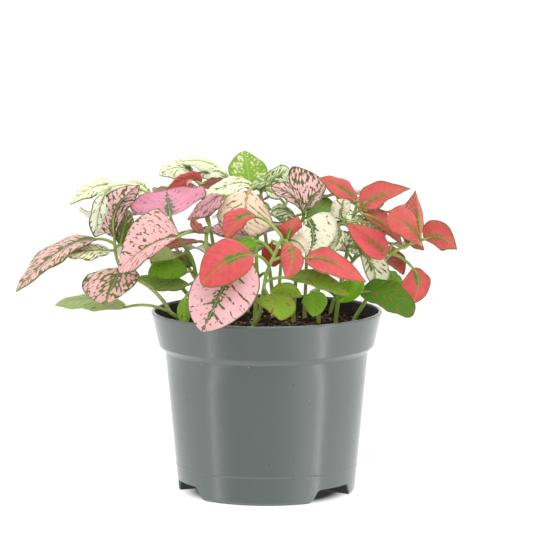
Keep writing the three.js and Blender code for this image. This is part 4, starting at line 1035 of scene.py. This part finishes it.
def make_soil(soil, crumbs):
    """Soil: an uneven top, plain sides just inside the pot, a bottom that follows its floor, loose crumbs."""
    circle = spokes_of(SOIL_SPOKES)
    flare = (RIM_RADIUS - RIM_LOW_RADIUS) * (POT_HEIGHT - SOIL_Z) / (POT_HEIGHT - RIM_LOW_Z)
    brim = RIM_RADIUS - WALL - GAP - flare

    def ring(radius, height_of):
        x, y = radius * circle[:, 0], radius * circle[:, 1]
        return np.stack([x, y, height_of(x, y)], -1)

    def top(x, y):
        z = soil_level(x, y) + 0.5 * rough(x, y, SEED + 1, 1.1)
        return np.clip(z, SOIL_Z - 4, SOIL_Z + 1.6)

    rings = [ring(r, top) for r in brim * np.linspace(0, 1, SOIL_RINGS + 1)[1:] ** 0.8]
    middle = rings[0][:, 2].mean()
    wall = [(RIM_LOW_RADIUS, RIM_LOW_Z + 1.2), (NECK_RADIUS, NECK_Z + 0.4), (FOOT_RADIUS, WALL + 1.5)]
    for outside, low in wall:
        rings.append(ring(outside - WALL - GAP, lambda x, y: soil_floor(x, y, low)))
    for r in (FOOT_RADIUS - WALL - GAP - 1) * np.linspace(1, 0, 40)[:-1]:
        rings.append(ring(r, lambda x, y: soil_floor(x, y, WALL + GAP)))
    build = Build()
    ends = [0, 0, middle], [0, 0, CHANNEL_HEIGHT + WALL + GAP]
    build.add(*capped(np.array(rings), *ends, turn_over=True), 0)

    rng = np.random.default_rng(SEED + 3)
    spot_r = brim * np.sqrt(rng.uniform(0, 1, CRUMB_COUNT)) * 0.97
    spot_a = rng.uniform(0, 2 * np.pi, CRUMB_COUNT)
    kinds = rng.choice([1, 2, 3], CRUMB_COUNT, p=CRUMB_SHARES)
    sizes = rng.uniform(0.5, 1.9, CRUMB_COUNT) * np.where(kinds == 1, 1, 0.6)
    down = np.linspace(0, np.pi, 6)[1:-1, None, None]
    belts = np.concatenate([np.sin(down) * spokes_of(7), np.broadcast_to(np.cos(down), (4, 7, 1))], -1)
    ball, ball_faces = capped(belts, [0, 0, 1], [0, 0, -1], turn_over=True)
    for kind, size, r, a in zip(kinds, sizes, spot_r, spot_a):
        x, y = r * math.cos(a), r * math.sin(a)
        ground = float(soil_level(np.array(x), np.array(y)))
        lump = ball * (1 + rng.uniform(-0.25, 0.25, (len(ball), 1))) * size * rng.uniform(0.55, 1.2, 3)
        room = brim - 0.4 - r
        if room < size * 1.2:
            lump *= max(room, 0.2) / (size * 1.2)
        build.add(lump + [x, y, ground + size * 0.2], ball_faces, kind)
    return build.make("soil_fill", [soil, *crumbs])


def declare(piece, node, slot):
    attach(piece, "root")
    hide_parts(node)


def stem_path(spots):
    """A stem's path in space: straight up out of the soil, then through its spots."""
    foot = spots[0]
    low = np.array([foot[0], foot[1], SOIL_Z - STEM_DEPTH])
    return [low, np.array([foot[0], foot[1], SOIL_Z + 2]), *spots[1:]]


paths = {name: stem_path([sight(spot) for spot in np.reshape(row, (-1, 3))]) for name, row in STEMS.items()}
for name, (foot, head) in BACK_STEMS.items():
    head = np.array(head, float)
    low = np.array([*foot, SOIL_Z - STEM_DEPTH])
    bow = low + (head - low) * 0.3
    bow[2] = BACK_BEND_Z
    paths[name] = stem_path([low, bow, head])

leaf_skin = leaf_material()
stem_skin = stem_material()
for name, points in paths.items():
    kind = name.split("_")[0]
    build = Build()
    line = curve(points, 10)
    radii = np.linspace(STEM_RADIUS - 0.15, STEM_TIP_RADIUS, len(line))
    tube(build, line, radii, 1, sides=14, light=linear(STEM_COLOURS[kind]), size=np.array([0, 0, 1.0]))
    for leaf in leaves_of(name, points):
        grow_leaf(build, leaf, STEM_COLOURS[kind])
    declare(build.make(name + "_leafy", [leaf_skin, stem_skin]), name, kind + "_foliage")

declare(make_pot(pot_material()), "pot", "pot_plastic")
crumb_skins = [crumb_material("crumb_dark", (48, 36, 27)), crumb_material("crumb_tan", (168, 140, 105)),
               crumb_material("crumb_pale", (214, 206, 190))]
declare(make_soil(soil_material(), crumb_skins), "soil", "soil")

# Stage: a white floor with a painted shadow under the pot, a white room, soft lights above, two strips and a
# screen for the pot to mirror
NEAR_BLACK, WHITE, BRIGHT = ((v, v, v, 1) for v in (0.03, 1, 1.5))
world = bpy.data.worlds.new("white_room")
bpy.context.scene.world = world
world.use_nodes = True
background = world.node_tree.nodes["Background"]
background.inputs["Color"].default_value = WHITE
background.inputs["Strength"].default_value = 1.3


def aimed(thing, spot, aim):
    """Puts a lamp or camera at a spot, in mm on the pot's axis, looking at its aim."""
    spot, aim = Vector(spot), Vector(aim)
    thing.location = (spot + Vector(SHIFT)) * MM
    thing.rotation_mode = "QUATERNION"
    thing.rotation_quaternion = (spot - aim).to_track_quat("Z", "Y")
    bpy.context.scene.collection.objects.link(thing)


def light(name, spot, aim, width, height, power):
    """An area light of a width and height in mm and a power in watts."""
    data = bpy.data.lights.new(name, "AREA")
    data.shape = "RECTANGLE"
    data.size, data.size_y = width * MM, height * MM
    data.energy = power
    lamp = bpy.data.objects.new(name, data)
    aimed(lamp, spot, aim)


def glowing_sheet(name, corners, shade, strength):
    """A flat sheet that gives light and mirrors none. shade(tree, x, y) is its colour, x and y in metres."""
    t = Tree(name)
    x, y, _ = t.parts(t.place())
    t.put(t.shader.inputs["Emission Color"], shade(t, x, y))
    t.shader.inputs["Emission Strength"].default_value = strength
    build = Build()
    build.add(corners, [[0, 1, 2, 3]], 0)
    return build.make(name, [t.finish((0, 0, 0, 1), 1.0, 0.0)], inside=False)


def screen_shade(t, x, _):
    """Dark in the middle, light at the sides and lightest at the right."""
    sides = t.mix(t.step(x, 0.5, 1.3), WHITE, BRIGHT)
    return t.mix(t.step(abs(x + 0.3), 0.35, 1.4), NEAR_BLACK, sides)


def floor_white_with_painted_shadow(t, x, y):
    """White, with a painted shadow: dark only where the pot stands over it."""
    from_axis = hypot(x - SHIFT[0] * MM, y - SHIFT[1] * MM)
    return t.mix(t.step(from_axis, 34 * MM, 47 * MM), NEAR_BLACK, WHITE)


light("key_top", (300, -500, 1100), (0, 0, 120), 900, 900, 3.6)
light("key_back", (-300, 900, 800), (0, 0, 120), 900, 900, 2.2)
light("strip_left", (-1000, -424, -380), (0, 0, 60), 55, 1150, 1.2)
light("strip_right", (1000, -424, -380), (0, 0, 60), 90, 1150, 2.2)

# The pot mirrors what is in front and lower than the floor, so the screen and the strips reach down there
screen_corners = [(-1900, -900, -1200), (1900, -900, -1200), (1900, -900, -2), (-1900, -900, -2)]
screen = glowing_sheet("screen", screen_corners, screen_shade, 1.3)
screen.visible_camera = False

floor_corners = [(-4000, -4000, -0.2), (4000, -4000, -0.2), (4000, 4000, -0.2), (-4000, 4000, -0.2)]
floor = glowing_sheet("floor", floor_corners, floor_white_with_painted_shadow, 1.1)
floor.visible_glossy = False
floor.visible_shadow = False

camera_data = bpy.data.cameras.new("camera")
camera_data.lens = LENS_MM
camera_data.sensor_width = SENSOR_MM
camera_data.clip_end = 20
camera = bpy.data.objects.new("camera", camera_data)
aimed(camera, EYE_SPOT, (AIM_X, 0, AIM_Z))
bpy.context.scene.camera = camera
bpy.context.scene.view_settings.view_transform = "Standard"
